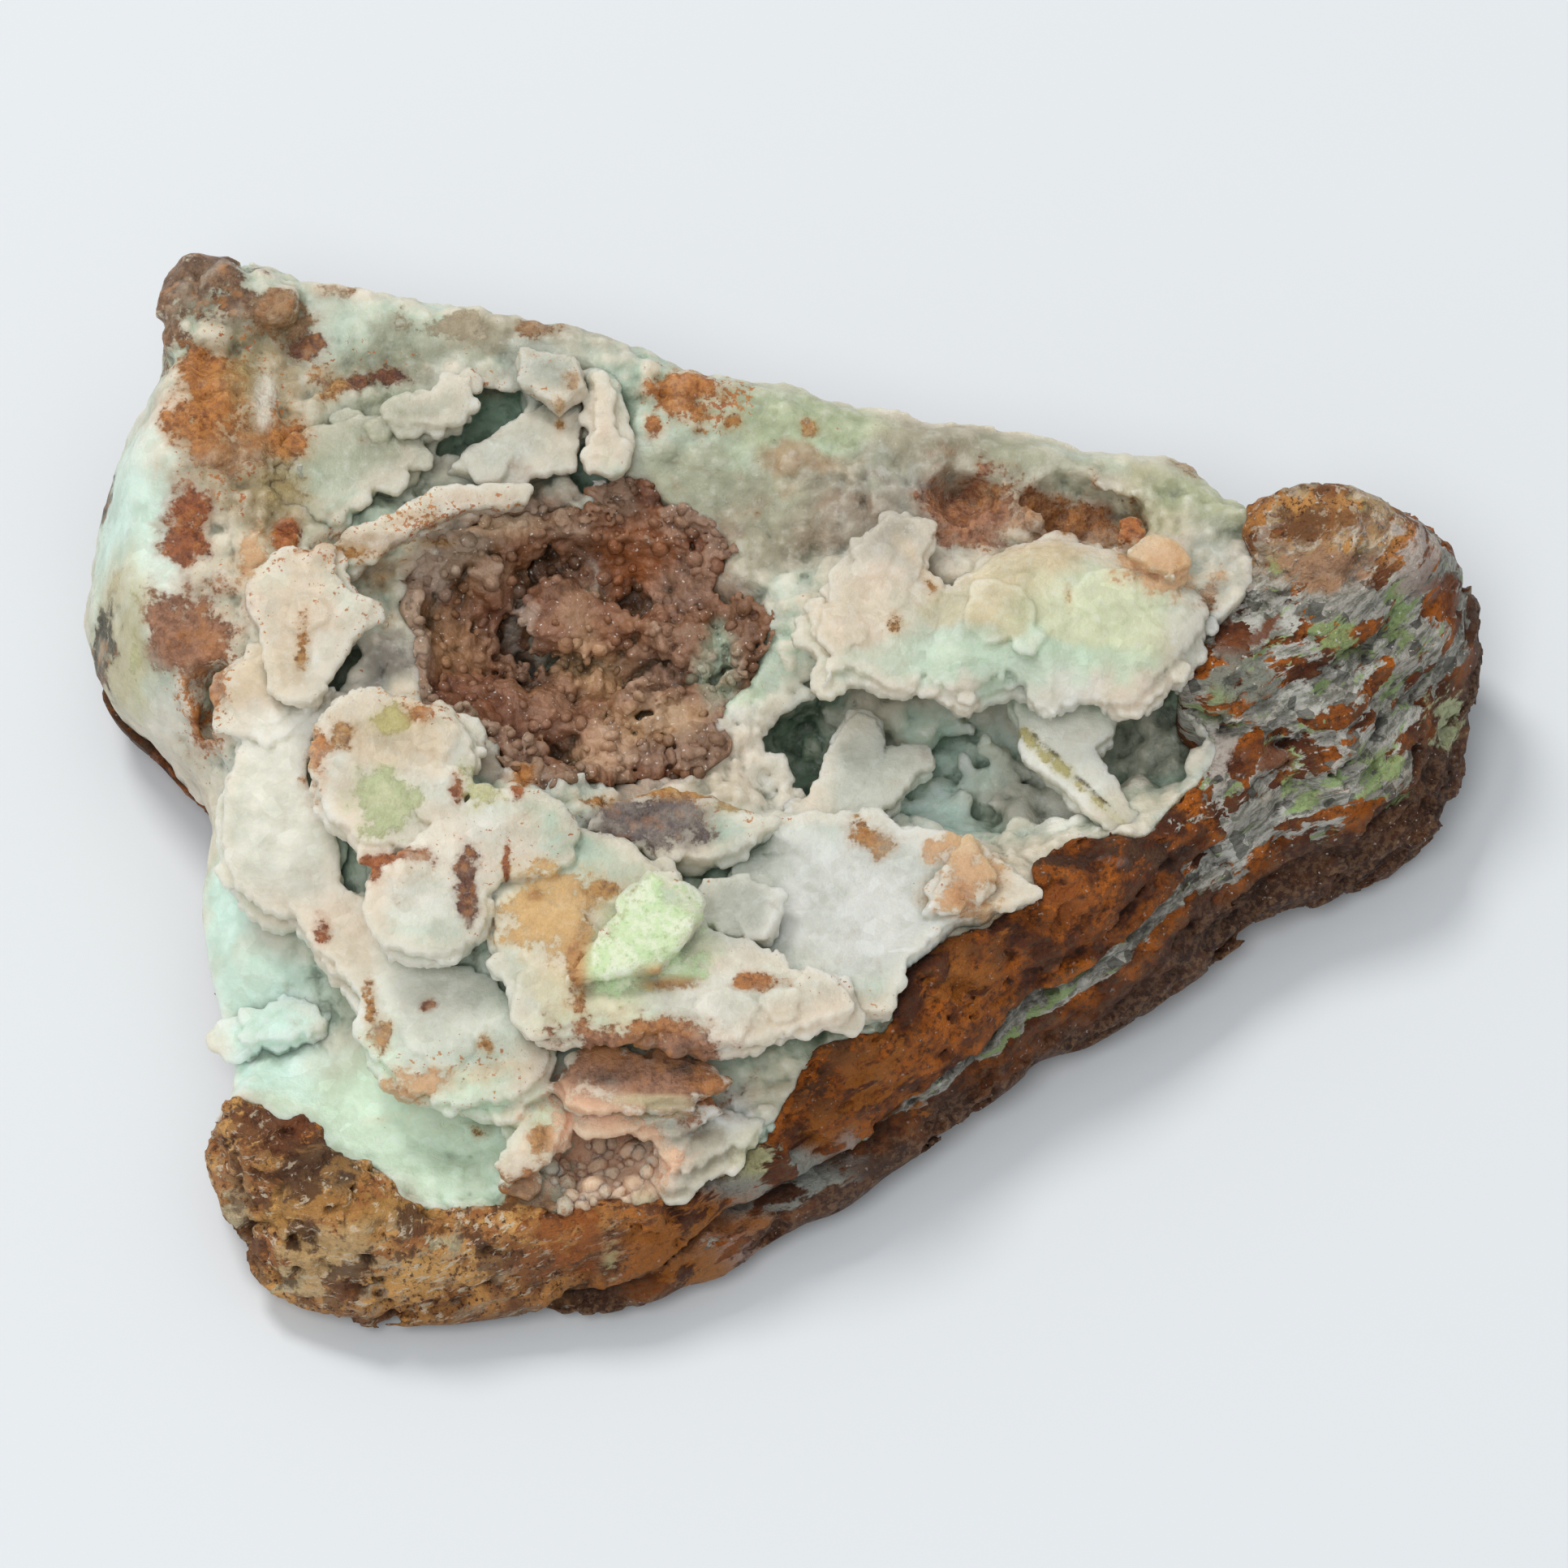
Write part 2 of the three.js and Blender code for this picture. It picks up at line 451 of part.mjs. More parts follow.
// A small rounded lump
function lump(x, y, z, radius) {
  const geometry = new THREE.SphereGeometry(radius, LUMP_SIDES, LUMP_SIDES - 1);
  geometry.rotateX(0.4 + x).rotateY(0.3 + y);
  geometry.scale(1, 1, LUMP_FLATNESS);
  geometry.translate(x, y, z);
  return solidOf(geometry);
}

// A plate or ledge with a rounded, slightly scalloped edge, grown by a clearance
function plate({ outline, top, lean, dome, thick }, grow) {
  const count = Math.max(8, Math.round(closedCurve(outline).getLength() / PLATE_STEP));
  let edge = evenly(outline, count);
  if (THREE.ShapeUtils.isClockWise(edge)) edge = edge.reverse();
  const middle = edge.reduce((sum, p) => sum.add(p), new THREE.Vector3()).divideScalar(count);
  const ring = (part, drop, rise) => edge.map((p, i) => {
    const scallop = 1 + (i % 2 ? PLATE_SCALLOP : -PLATE_SCALLOP) * (part === 1 ? 1 : 0);
    const reach = part * scallop * (1 + grow / p.distanceTo(middle));
    const x = mix(middle.x, p.x, reach);
    const y = mix(middle.y, p.y, reach);
    const slope = lean[0] * (x - middle.x) + lean[1] * (y - middle.y);
    return [x, y, top + slope - drop + rise + grow * (drop === thick ? -1 : 1)];
  });
  const rings = [
    ring(PLATE_FOOT, thick, 0), ring(1, PLATE_WAIST * thick, 0), ring(PLATE_SHOULDER, 0, 0)];
  if (Math.abs(dome) >= DOMED) rings.push(ring(PLATE_MIDDLE, 0, dome));
  return skin(rings);
}

// A seeded sequence of numbers between 0 and 1
function* chances(seed) {
  let state = seed;
  while (true) {
    state = (state * 16807) % 2147483647;
    yield state / 2147483647;
  }
}

const union = (solids) => solids.reduce((all, solid) => all.add(solid));

// The brown, grainy lining of the central hollow: one crust of grown-together grains
function hollowDruse(stone) {
  const { sides, roughness } = LARGE_EGG;
  const outside = unevenEgg(CENTRAL_HOLLOW, GAP, sides, roughness);
  const { at, half, turn } = CENTRAL_HOLLOW;
  const bowl = {
    at: [at[0], at[1], at[2] + LINING.lift],
    half: [half[0] - LINING.side, half[1] - LINING.side, half[2] + LINING.deeper],
    turn,
  };
  const inside = unevenEgg(bowl, 0, sides, LINING.roughness);
  const grown = HOLLOW_LOBES.map(([x, y, z, a, b, c]) => unevenEgg(
    { at: [x, y, z], half: [a, b, c], turn: 0 }, 0, LOBE.sides, LOBE.roughness));
  const chance = chances(HOLLOW_GRAINS.seed);
  for (let i = 0; i < HOLLOW_GRAINS.count; i += 1) {
    const turnAround = 2 * Math.PI * chance.next().value;
    const out = Math.sqrt(0.08 + 0.86 * chance.next().value);
    const radius = HOLLOW_GRAINS.radius + HOLLOW_GRAINS.spread * chance.next().value;
    const x = bowl.at[0] + bowl.half[0] * out * Math.cos(turnAround);
    const y = bowl.at[1] + bowl.half[1] * out * Math.sin(turnAround);
    const z = bowl.at[2] - bowl.half[2] * Math.sqrt(1 - out * out);
    if (z < at[2] - 1) grown.push(lump(x, y, z, radius));
  }
  const hole = unevenEgg(HOLLOW_HOLE, 0, SMALL_SIDES, EGG_ROUGHNESS);
  const lining = outside.subtract(inside).add(union(grown));
  return lining.intersect(outside).intersect(stone).subtract(hole);
}

// Keep the largest of the separate bodies of a solid
function largest(solid) {
  const bodies = solid.decompose();
  return bodies.reduce((best, body) => (body.volume() > best.volume() ? body : best));
}

// A named mesh of one solid, in its own colour
function sub(name, solid, colour, roughness) {
  const mesh = solid.getMesh();
  const geometry = new THREE.BufferGeometry();
  geometry.setAttribute('position', new THREE.BufferAttribute(new Float32Array(mesh.vertProperties), 3));
  geometry.setIndex(new THREE.BufferAttribute(new Uint32Array(mesh.triVerts), 1));
  const material = new THREE.MeshStandardMaterial({ color: colour, roughness, metalness: 0 });
  const part = new THREE.Mesh(geometry, material);
  part.name = name;
  return part;
}

const stone = wholeStone();
const centralHollow = unevenEgg(CENTRAL_HOLLOW, 0, LARGE_EGG.sides, LARGE_EGG.roughness);
const hollows = Object.values(HOLLOWS).map(
  (hollow) => unevenEgg(hollow, 0, SMALL_SIDES, EGG_ROUGHNESS));
const plates = Object.values(PLATES).map((shape) => plate(shape, 0));
const platesWithRoom = Object.values(PLATES).map((shape) => plate(shape, GAP));
const lumps = CRUST_LUMPS.map(([x, y, z, radius]) => lump(x, y, z, radius));
const lumpsWithRoom = CRUST_LUMPS.map(([x, y, z, radius]) => lump(x, y, z, radius + GAP));
const grownRoom = union([...platesWithRoom, ...lumpsWithRoom]);

const matrix = largest(stone.subtract(crustSpace(GAP)).subtract(grownRoom));
const ground = stone.intersect(crustSpace(0)).subtract(union(hollows)).subtract(centralHollow);
const crust = largest(union([ground, ...plates, ...lumps]));
const druse = largest(hollowDruse(stone).subtract(grownRoom));

const specimen = new THREE.Group();
specimen.add(sub('limonite_matrix', matrix, '#7d4a24', 0.85));
specimen.add(sub('smithsonite_crust', crust, '#ccd9cb', 0.5));
specimen.add(sub('hollow_druse', druse, '#7a4f36', 0.6));

export default specimen;
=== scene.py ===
# %% [markdown]
# Smithsonite specimen. A loose mineral hand specimen, 100 mm long: a waxy, pale green to pinkish
# white crust of zinc carbonate with plates, ledges and open hollows, grown on brown, layered
# limonite rock. This lesson dresses three plain solids that carry the main forms. Each solid
# is replaced by a finely modelled mesh of the same form: the rock, the crust, and the brown
# grainy lining of the central hollow.

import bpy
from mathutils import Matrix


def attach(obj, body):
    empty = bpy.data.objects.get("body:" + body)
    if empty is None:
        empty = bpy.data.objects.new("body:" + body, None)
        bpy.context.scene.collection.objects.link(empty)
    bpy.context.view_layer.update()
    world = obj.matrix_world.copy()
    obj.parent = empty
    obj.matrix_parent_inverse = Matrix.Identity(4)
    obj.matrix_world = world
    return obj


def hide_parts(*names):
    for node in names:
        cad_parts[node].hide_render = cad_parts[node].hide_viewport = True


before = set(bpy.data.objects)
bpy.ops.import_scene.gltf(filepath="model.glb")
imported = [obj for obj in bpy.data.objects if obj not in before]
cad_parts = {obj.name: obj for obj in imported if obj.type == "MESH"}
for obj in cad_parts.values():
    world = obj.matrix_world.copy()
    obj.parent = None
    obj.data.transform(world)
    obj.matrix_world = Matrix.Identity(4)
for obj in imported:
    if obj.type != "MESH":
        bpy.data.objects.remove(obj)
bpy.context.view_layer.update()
import copy
import math

import bpy
import numpy as np
import openvdb
from mathutils import Vector

MM = 0.001

# %% [markdown]
# The specimen is photographed from the front, looking down at about 60 degrees, with a long
# lens. The light is a large soft lamp above the back left, so shadows fall to the lower right,
# and the pale room fills the rest. The floor is a plain pale sheet that is not part of the stone.

# %% Camera
AIM = Vector((0, 0, 10 * MM))
ELEVATION = math.radians(60)
CAMERA_DISTANCE = 0.7
SEEN_WIDTH = 0.1113  # metres across the picture at the aim point
SENSOR = 36.0  # width of the camera's sensor, mm


def look_at(thing, place, target):
    """Put a lamp or camera at a place, facing the target."""
    thing.location = place
    thing.rotation_euler = (Vector(target) - Vector(place)).to_track_quat("-Z", "Y").to_euler()


def add_to_scene(thing):
    bpy.context.scene.collection.objects.link(thing)
    return thing


camera = add_to_scene(bpy.data.objects.new("camera", bpy.data.cameras.new("camera")))
camera.data.sensor_width = SENSOR
camera.data.lens = SENSOR * CAMERA_DISTANCE / SEEN_WIDTH
camera.data.clip_start = 0.01
away = Vector((0, -math.cos(ELEVATION), math.sin(ELEVATION))) * CAMERA_DISTANCE
look_at(camera, AIM + away, AIM)
bpy.context.scene.camera = camera
print("lens, mm:", round(camera.data.lens, 1))


# %% Lamps, room light and floor
def area_lamp(name, place, size, power, colour=(1, 1, 1)):
    lamp = bpy.data.lights.new(name, "AREA")
    lamp.shape = "DISK"
    lamp.size = size
    lamp.energy = power
    lamp.color = colour
    holder = add_to_scene(bpy.data.objects.new(name, lamp))
    look_at(holder, place, AIM)
    return holder


KEY_POWER = 7.4
FRONT_POWER = 5.0
ROOM_LIGHT = 0.46
area_lamp("key_light", (-0.44, 0.60, 1.10), 0.40, KEY_POWER, (1, 0.985, 0.96))
area_lamp("front_light", (-0.20, -0.52, 1.10), 0.60, FRONT_POWER, (1, 1, 1))

world = bpy.data.worlds.new("room")
world.use_nodes = True
world.node_tree.nodes["Background"].inputs["Color"].default_value = (0.93, 0.97, 1, 1)
world.node_tree.nodes["Background"].inputs["Strength"].default_value = ROOM_LIGHT
bpy.context.scene.world = world
bpy.context.scene.view_settings.view_transform = "Standard"

FLOOR_HALF = 2.5
floor_mesh = bpy.data.meshes.new("floor")
floor_mesh.from_pydata(
    [(x * FLOOR_HALF, y * FLOOR_HALF, 0) for x, y in ((-1, -1), (1, -1), (1, 1), (-1, 1))],
    [], [(0, 1, 2, 3)])
floor = add_to_scene(bpy.data.objects.new("floor", floor_mesh))
sheet = bpy.data.materials.new("pale_sheet")
sheet.use_nodes = True
for socket, value in (("Base Color", (0.762, 0.789, 0.812, 1)), ("Roughness", 0.9),
                      ("Specular IOR Level", 0.1)):
    sheet.node_tree.nodes["Principled BSDF"].inputs[socket].default_value = value
floor_mesh.materials.append(sheet)
print("lamps, W:", KEY_POWER, "and", FRONT_POWER)

# %% [markdown]
# The stone is described once, in millimetres, by the same named shapes as its solids: the
# outline seen from above, spot heights of the top, the edge and underside of the crust, hollows,
# plates and lumps. Everything below turns these into one fine, closed surface per mineral.

# %% The stone's outline, heights and crust edge
CENTRE = np.array([-6.0, 2.0])
FOOT_INSET = 5.0
OUTLINE = [  # x, y, height of the widest line, width of the wall above it
    (-44, 36.5, 19, 3), (-39, 38, 19, 3), (-32, 36, 18, 3), (-24.5, 35, 18, 3), (-8, 30.5, 18, 3),
    (7, 26, 18, 3), (21.5, 23.5, 17, 3), (28.5, 22, 17, 3), (33.5, 18.5, 17, 3), (39, 19.5, 17, 4),
    (45, 19, 15, 5), (49.5, 16.5, 12, 6), (50, 10.5, 9, 8), (48.5, 4, 6, 9), (46.5, -1.5, 5, 9),
    (39.5, -5.5, 4, 10), (33.5, -8.5, 5, 9), (25, -15.5, 5, 8), (16, -20.5, 5, 7), (9, -26.5, 4, 6),
    (2, -31, 4, 6), (-3.5, -34.5, 3, 6), (-10, -37.5, 3, 5), (-18, -38, 3, 5), (-26, -39, 3, 5),
    (-35, -37, 3, 5), (-39.5, -30, 4, 4), (-40.5, -27, 5, 3), (-38.5, -22, 6, 3), (-39.5, -17, 7, 3),
    (-41, -8.5, 8, 4), (-41, -1, 9, 5), (-44.5, 3.5, 10, 4), (-49.4, 10, 8, 5), (-49.5, 18, 9, 5),
    (-48.5, 25.5, 11, 5), (-45, 32.5, 14, 4)]
SPOT_HEIGHTS = [  # x, y, z of the top surface
    # crest of the back rim
    (-42, 35, 20), (-37, 33.5, 21), (-30, 31.5, 21), (-22.5, 30.5, 21), (-15.5, 29, 21),
    (-9.5, 27, 21), (-4, 25, 20.5), (2, 24, 20.5), (7.5, 22.5, 20), (13.5, 21.5, 20),
    (19.5, 20.5, 19.5), (25, 19, 19), (30, 17.5, 18.5),
    # stained slab behind the left face, and the left face itself
    (-41, 28, 21), (-40.5, 21.5, 21.5), (-36.5, 18, 21), (-33, 27.5, 20), (-28, 24, 19.5),
    (-30, 19, 19), (-44.5, 14, 18), (-41.5, 6.5, 18), (-43, 0.5, 14), (-40.5, -4, 12),
    (-38, -9, 10),
    # ground under the pink plates and the middle ones
    (-35.5, 12, 19.5), (-32.5, 6, 18.5), (-33.5, -0.5, 17), (-35.5, -6, 15), (-35, -10, 12.5),
    (-28, 17, 18.5), (-28, 10, 17.5), (-27.5, -0.5, 18), (-23, -7, 17.5), (-23, -13, 17),
    (-18.5, -13, 17), (-15, -16.5, 16.5), (-9.5, -16, 16), (-9.5, -21.5, 14.5),
    (-18.5, -21, 13.5), (-25, -21, 12.5),
    # edge of the central hollow, and the slope that comes down to it from the back rim
    (-23.5, 20, 17.5), (-15.5, 20, 17), (-8, 19.5, 16.5), (-2, 17.5, 16.5), (-0.5, 10.5, 16.5),
    (-1, 4.5, 14.5), (-13, 22, 18), (-6.5, 23, 19.5), (2, 21, 18.5), (2, 16.5, 17.5),
    (6.5, 19.5, 18), (13.5, 18.5, 17.5), (22, 17.5, 17), (28, 16, 17),
    # domed ledge and the open space in front of it
    (16.5, 10, 18), (25, 9.5, 18), (7.5, 9, 17), (30, 9.5, 17.5), (4, -0.5, 11), (12, -1, 10.5),
    (19, -1.5, 10.5), (26, 0, 11.5), (10, 3, 11), (20, 3, 11),
    # ground under the large front plate and the steps below it
    (2, -11.5, 14), (10.5, -11.5, 14), (-1, -8, 14), (-5, -19, 13.5), (-1, -22.5, 12),
    (-6.5, -26.5, 9.5), (-11.5, -25.5, 10.5), (-15, -29.5, 8.5),
    # smooth bowl at the lower left, and the brown corner round it
    (-38, -13.5, 9), (-38, -19, 7.5), (-33.5, -22, 7), (-27.5, -26, 7), (-22, -28.5, 7),
    (-20.5, -31, 7.5), (-36, -28, 10), (-29, -34, 10), (-20.5, -35.5, 9), (-15, -35, 9.5),
    (-11, -34.5, 8.5),
    # banded right end and the front wall's top
    (34, 16, 19.5), (39.5, 15, 20.5), (44, 13.5, 19), (36.5, 8.5, 19), (33.5, 3.5, 17),
    (42, 5, 14.5), (36.5, -2, 12), (30.5, -5, 13.5), (25, -7.5, 13.5), (19, -11.5, 14.5),
    (13, -15.5, 15), (9.5, -18, 15), (6.5, -23, 13), (2, -27, 11)]
CRUST_EDGE = [
    (-46, 50), (34, 30), (33.5, 18.5), (32.5, 12), (28, 5), (30.5, 0.5), (27, -4), (19, -8),
    (17.5, -12), (12, -15), (8, -18), (7, -21.5), (2, -23.5), (-0.5, -27.5), (-4.5, -30), (-9, -32.5),
    (-15, -33), (-25, -33), (-29.5, -29.5), (-34, -26), (-46, -24), (-60, 2)]
CRUST_FLOOR = [
    (-44, 36, 12), (-20, 33, 12), (5, 27, 12), (30, 21, 12.5), (-50, 15, 4.5), (-47, 3, 5),
    (-41, -10, 5), (-38, -23, 4.5), (-26, -33, 4.5), (-9, -32.5, 4.5), (0, -26.5, 8), (8, -18, 12),
    (18, -11, 12), (25, -5, 8.5), (30, 0, 8.5), (33, 9, 14.5), (27, 3, 5), (-28, -16, 4), (-15, 8, 3.5),
    (14, 3, 3.2), (5, -10, 6), (-34, 14, 6)]
print(len(OUTLINE), "outline points,", len(SPOT_HEIGHTS), "spot heights")

# %% Hollows: centre, half sizes, turn about Z in degrees
CENTRAL_HOLLOW = ((-14, 8, 17.5), (12.8, 12, 7.6), -8)
HOLLOWS = {
    "under_ledge": ((14, 3.6, 11.4), (13, 7.4, 5.4), -4),
    "left_of_blade": ((2.6, 2.4, 10.6), (4.6, 5.2, 4.6), 20),
    "right_pocket": ((25.4, 3, 13), (4.2, 4.2, 3.8), 0),
    "left_slot": ((-21.6, 25.4, 18), (3.4, 2.2, 4.5), 35),
    "right_slot": ((-13.2, 22.2, 17.5), (2.6, 1.3, 4), 15),
    "gap_by_plate": ((-32.4, 3.4, 18), (1.5, 3.4, 4), -40),
    "left_pit": ((-40.6, 3.6, 17), (1.9, 2.6, 5), 0),
    "small_recess": ((12.4, 18.6, 18.6), (2.5, 2.2, 2.4), 0),
    "long_recess": ((21.5, 17.4, 18.2), (4.2, 2.2, 2.6), -10),
    "lower_pocket": ((-12.5, -29.2, 10), (4.2, 3.2, 4), 0),
}
HOLLOW_HOLE = ((-18.8, 9.6, 11.6), (1.8, 2.4, 3), 10)
HOLLOW_LOBES = [  # x, y, z and half sizes of the lobes on the hollow's lining
    (-15, 11.4, 12.6, 4, 2.4, 3), (-9, 3, 13.4, 3.2, 2.2, 2.6), (-13.6, 0, 13, 3, 2.8, 2.8),
    (-21, 3.6, 12.4, 3, 2.4, 2.6), (-6.2, 10, 13, 2.8, 3, 2.8), (-22, 13.4, 13.4, 2.8, 2.8, 2.6)]
print(len(HOLLOWS) + 1, "hollows")

# %% Plates: outline, height of the middle, lean along X and Y, dome, thickness
PLATES = {
    "long_bar": (
        [(-33, 12), (-30.5, 11), (-25.5, 14.5), (-22.5, 16), (-18.5, 16.5), (-18, 17.5),
         (-24.5, 17.5), (-30, 14.5)], 21.8, (0, 0.1), 0, 4),
    "pink_plate": (
        [(-35.5, 11.5), (-31.5, 12), (-30.5, 9), (-28.5, 8), (-30.5, 4), (-33, 0.5),
         (-35.5, 1), (-36.5, 5), (-38, 9.5)], 22, (0.1, 0.12), 0.6, 4),
    "lower_pink_plate": (
        [(-40, 3), (-36.5, 6), (-35, 3), (-33.5, 1), (-36, -1.5), (-39.5, 0)],
        19, (0.1, 0.15), 0.3, 3.2),
    "white_left_plate": (
        [(-38, -0.5), (-35.5, 0.5), (-31.5, 2.5), (-33.5, -2.5), (-31, -8.5), (-31.5, -12),
         (-35.5, -13.5), (-38.5, -11), (-40, -6)], 16.8, (0.1, 0.3), 0.8, 4),
    "core_plate": (
        [(-30.5, 0.5), (-33.5, -4), (-32, -8), (-28.5, -11.5), (-25, -9.5), (-21.5, -4.5),
         (-22, -1), (-26, 0.5)], 21, (-0.05, 0.15), 0.9, 4.4),
    "white_mid_plate": (
        [(-29, -13.5), (-25, -10), (-18.5, -6.5), (-14.5, -9), (-15.5, -12), (-20, -14),
         (-21, -17.5), (-24.5, -19), (-28, -18)], 20, (-0.05, 0.15), 0.7, 4),
    "front_ledge": (
        [(-20, -12.5), (-18.5, -9.5), (-13, -9), (-8, -11.5), (-5, -16), (0, -18.5), (4, -20),
         (5, -22.5), (0, -24), (-4.5, -25), (-10.5, -24.5), (-17, -24.5), (-20, -20)],
        18.2, (-0.02, 0.12), 0.6, 4.4),
    "broken_crystal": (
        [(-15, -21), (-13, -18), (-9.5, -13), (-7.5, -13), (-5.5, -16.5), (-8.5, -20.5)],
        20.4, (0.05, 0.15), 0.4, 3.6),
    "big_plate": (
        [(-3, -7), (2, -5.5), (7, -6), (13.5, -8.5), (18, -12.5), (12, -14.5), (8.5, -17.5),
         (7.5, -21.5), (3, -22), (-2, -19), (-4.5, -12.5)], 16.2, (0.02, 0.02), -1, 3),
    "orange_end": (
        [(10, -14.2), (11, -11), (13, -8.8), (14.6, -11), (13.8, -13.6)],
        17.4, (0, 0.1), 0.3, 2),
    "sub_plate": (
        [(-6, -12), (-3, -11.5), (0, -13.5), (-1, -16.5), (-4.5, -16.5)], 17.8, (0, 0.1), 0.4, 3),
    "grey_plate": (
        [(-13, -6.5), (-9, -5), (-5, -5.5), (-0.5, -7.5), (-3, -10), (-6, -11), (-10.5, -9.5),
         (-14, -8.5)], 18, (0, 0.15), 0.6, 3.4),
    "branch_blade": (
        [(-0.3, -4.2), (1.1, -3), (2.5, -0.6), (3.7, 2.4), (4.8, 4), (6.4, 3.7), (7.1, 2.1),
         (7, 0.3), (8.3, 1.4), (10, 1.1), (10.2, -0.2), (8.8, -1.7), (7.7, -3.4), (5.7, -4.9),
         (1.9, -5.3)], 13.4, (0, 0.05), 0.6, 2.6),
    "broken_plate": (
        [(15.3, 5.7), (16.3, 6.1), (18.6, 4.6), (19.9, 3), (21.2, 4.6), (22.8, 5.2), (23.7, 3.7),
         (23.2, 1.8), (21.9, 0.6), (23.4, -1.8), (25.6, -5.1), (23.9, -6.6), (21.4, -4.3),
         (18.5, -1.5), (17, -0.2), (16.4, 2.5)], 14.4, (-0.1, 0.2), 0.3, 2.6),
    "domed_ledge": (
        [(25, 2), (20.5, 2), (18.5, 1.2), (16, 3), (12.5, 1.8), (9.5, 3.5), (9.5, 7),
         (12, 11.5), (18, 15), (22, 14.5), (28, 12), (30.5, 8.5), (28.5, 4.5)],
        18.9, (-0.03, 0.05), 4.5, 4.2),
    "white_lobes": (
        [(9.5, 2.5), (6.5, 2.6), (5, 3.2), (2.5, 2), (2.2, 5), (1, 7.5), (3, 10), (7, 12),
         (11, 11), (10.5, 7)], 19.6, (-0.02, 0.05), 0.8, 3.6),
    "grey_lobes": (
        [(4, 10), (5.5, 15), (8, 16.5), (10.5, 14.5), (8.5, 10.5)], 20.4, (0, 0.1), 0.5, 3),
    "peach_plate": (
        [(24.5, 12.6), (27, 13.8), (29, 12), (27.5, 10)], 21.4, (0, 0.1), 0.3, 3.4),
    "amber_chip": (
        [(23.5, 16), (26, 15), (25.5, 13.5), (23.4, 14)], 20.6, (0, 0), 0.3, 3.6),
    "hex_plate": (
        [(-19, 28.8), (-14.5, 28), (-14, 25.5), (-16, 24), (-19, 26)], 22.6, (0, 0.1), 0.2, 3),
    "knob_ridge": (
        [(-14, 27.5), (-12.4, 27.5), (-10.8, 22.5), (-12, 19.5), (-13.6, 20.4), (-14, 24)],
        21.2, (0, 0.15), 0.4, 4),
    "mint_plate": (
        [(-24.5, 20.6), (-19, 24.4), (-16, 26.3), (-14.2, 25.5), (-15, 20.5), (-20, 19.8)],
        19.8, (0.05, 0.1), 0.3, 3.4),
    "scalloped_lip": (
        [(-29.5, 23), (-25.5, 26), (-22, 27), (-22.8, 23.5), (-25, 22.3)],
        21.8, (0, 0.1), 0.4, 3.4),
    "left_shelf": (
        [(-34, 23.5), (-26.5, 24), (-25.5, 20), (-29.5, 18), (-33, 14.8), (-36.5, 18.5)],
        20.4, (0, 0.06), 0.5, 3),
    "bowl_ridge": (
        [(-39.3, -20), (-37, -17.2), (-32.6, -17), (-32, -19), (-36, -20.2)],
        8.7, (0, 0.1), 0.2, 3),
    "bowl_shelf": (
        [(-35, -12), (-31.5, -17), (-29.5, -20.5), (-28, -25.5), (-24, -27.5), (-19, -28),
         (-16, -25), (-19.5, -19), (-26, -15.5), (-30, -11.5)], 14.6, (0.06, 0.14), 0.5, 4),
    "limonite_shelf": (
        [(-16, -26.2), (-13.5, -23.8), (-7, -24.4), (-3.6, -26.2), (-6.5, -28), (-14, -28.4)],
        14.6, (0, 0.1), 0.2, 1.6),
    "limonite_shelf_low": (
        [(-15.4, -27.2), (-12.8, -25.2), (-6.4, -25.8), (-4.2, -27.6), (-7.6, -29), (-13, -29.2)],
        12.8, (0, 0.1), 0.2, 1.6),
    "lower_post": (
        [(-18.5, -27), (-15.4, -26), (-15.4, -30), (-19, -32.4)], 12.4, (0, 0.1), 0.6, 6),
    "corner_lobes": (
        [(-8.5, -28), (-3.5, -27), (-0.5, -27.6), (-2.4, -29.4), (-8, -32.2)],
        11.2, (0, 0.1), 0.5, 4),
}
RAGGED = {  # how ragged a plate's edge and face are, 1 for the plates that are not named here
    "long_bar": 0.35, "pink_plate": 0.6, "white_left_plate": 0.5, "core_plate": 0.8,
    "hex_plate": 0.1, "white_mid_plate": 0.5, "front_ledge": 0.8, "broken_crystal": 0.1,
    "big_plate": 0.3, "orange_end": 0.4, "sub_plate": 0.45, "grey_plate": 0.4,
    "broken_plate": 0.25, "peach_plate": 0.6, "amber_chip": 0.3, "mint_plate": 0.12,
    "left_shelf": 0.8, "bowl_shelf": 0.7, "limonite_shelf": 0.49, "limonite_shelf_low": 0.49,
    "branch_blade": 0.52, "lower_pink_plate": 0.7}
CRUST_LUMPS = [  # x, y, z, radius
    (-42, 35, 19.2, 3.2), (-38, 33.6, 20, 3.2), (-41.6, 31, 20.2, 2.8), (-43.6, 33.4, 20.8, 1.6),
    (-40.4, 34.8, 21.6, 1.5), (-42.4, 36.4, 20.6, 1.3), (-36.4, 32.4, 21.8, 1.7),
    (23.4, 3.4, 17.4, 2.4), (17.2, 3.6, 17.4, 2.4),
    (-13.8, -28.8, 7.6, 2), (-11, -30.2, 7.6, 2), (-13.8, -31.6, 7.8, 1.7)]
CAVE_LUMPS = [  # centre and half sizes of the lumps on the floor of the open space
    ((9.8, 6.7, 8), (4, 2, 1.8)), ((10.1, -0.4, 6), (4.4, 3, 1.4)),
    ((15.4, 2.1, 7), (2.2, 3.2, 1.8)), ((19.4, -1, 6.4), (4, 2.2, 1.8)),
    ((4.4, 6.4, 8.6), (2.4, 1.6, 1.8))]
print(len(PLATES), "plates,", len(CRUST_LUMPS) + len(CAVE_LUMPS), "lumps")

# %% [markdown]
# Rock has no straight edges and no rule that a modelling tool could follow, but it can be told
# as a distance: a field that is negative inside the mineral and positive outside. Distances can
# be joined, cut and roughened by plain arithmetic, and the skin where the field is zero is then
# turned into a mesh. Each mineral has its own net of points, finer where the detail is finer.

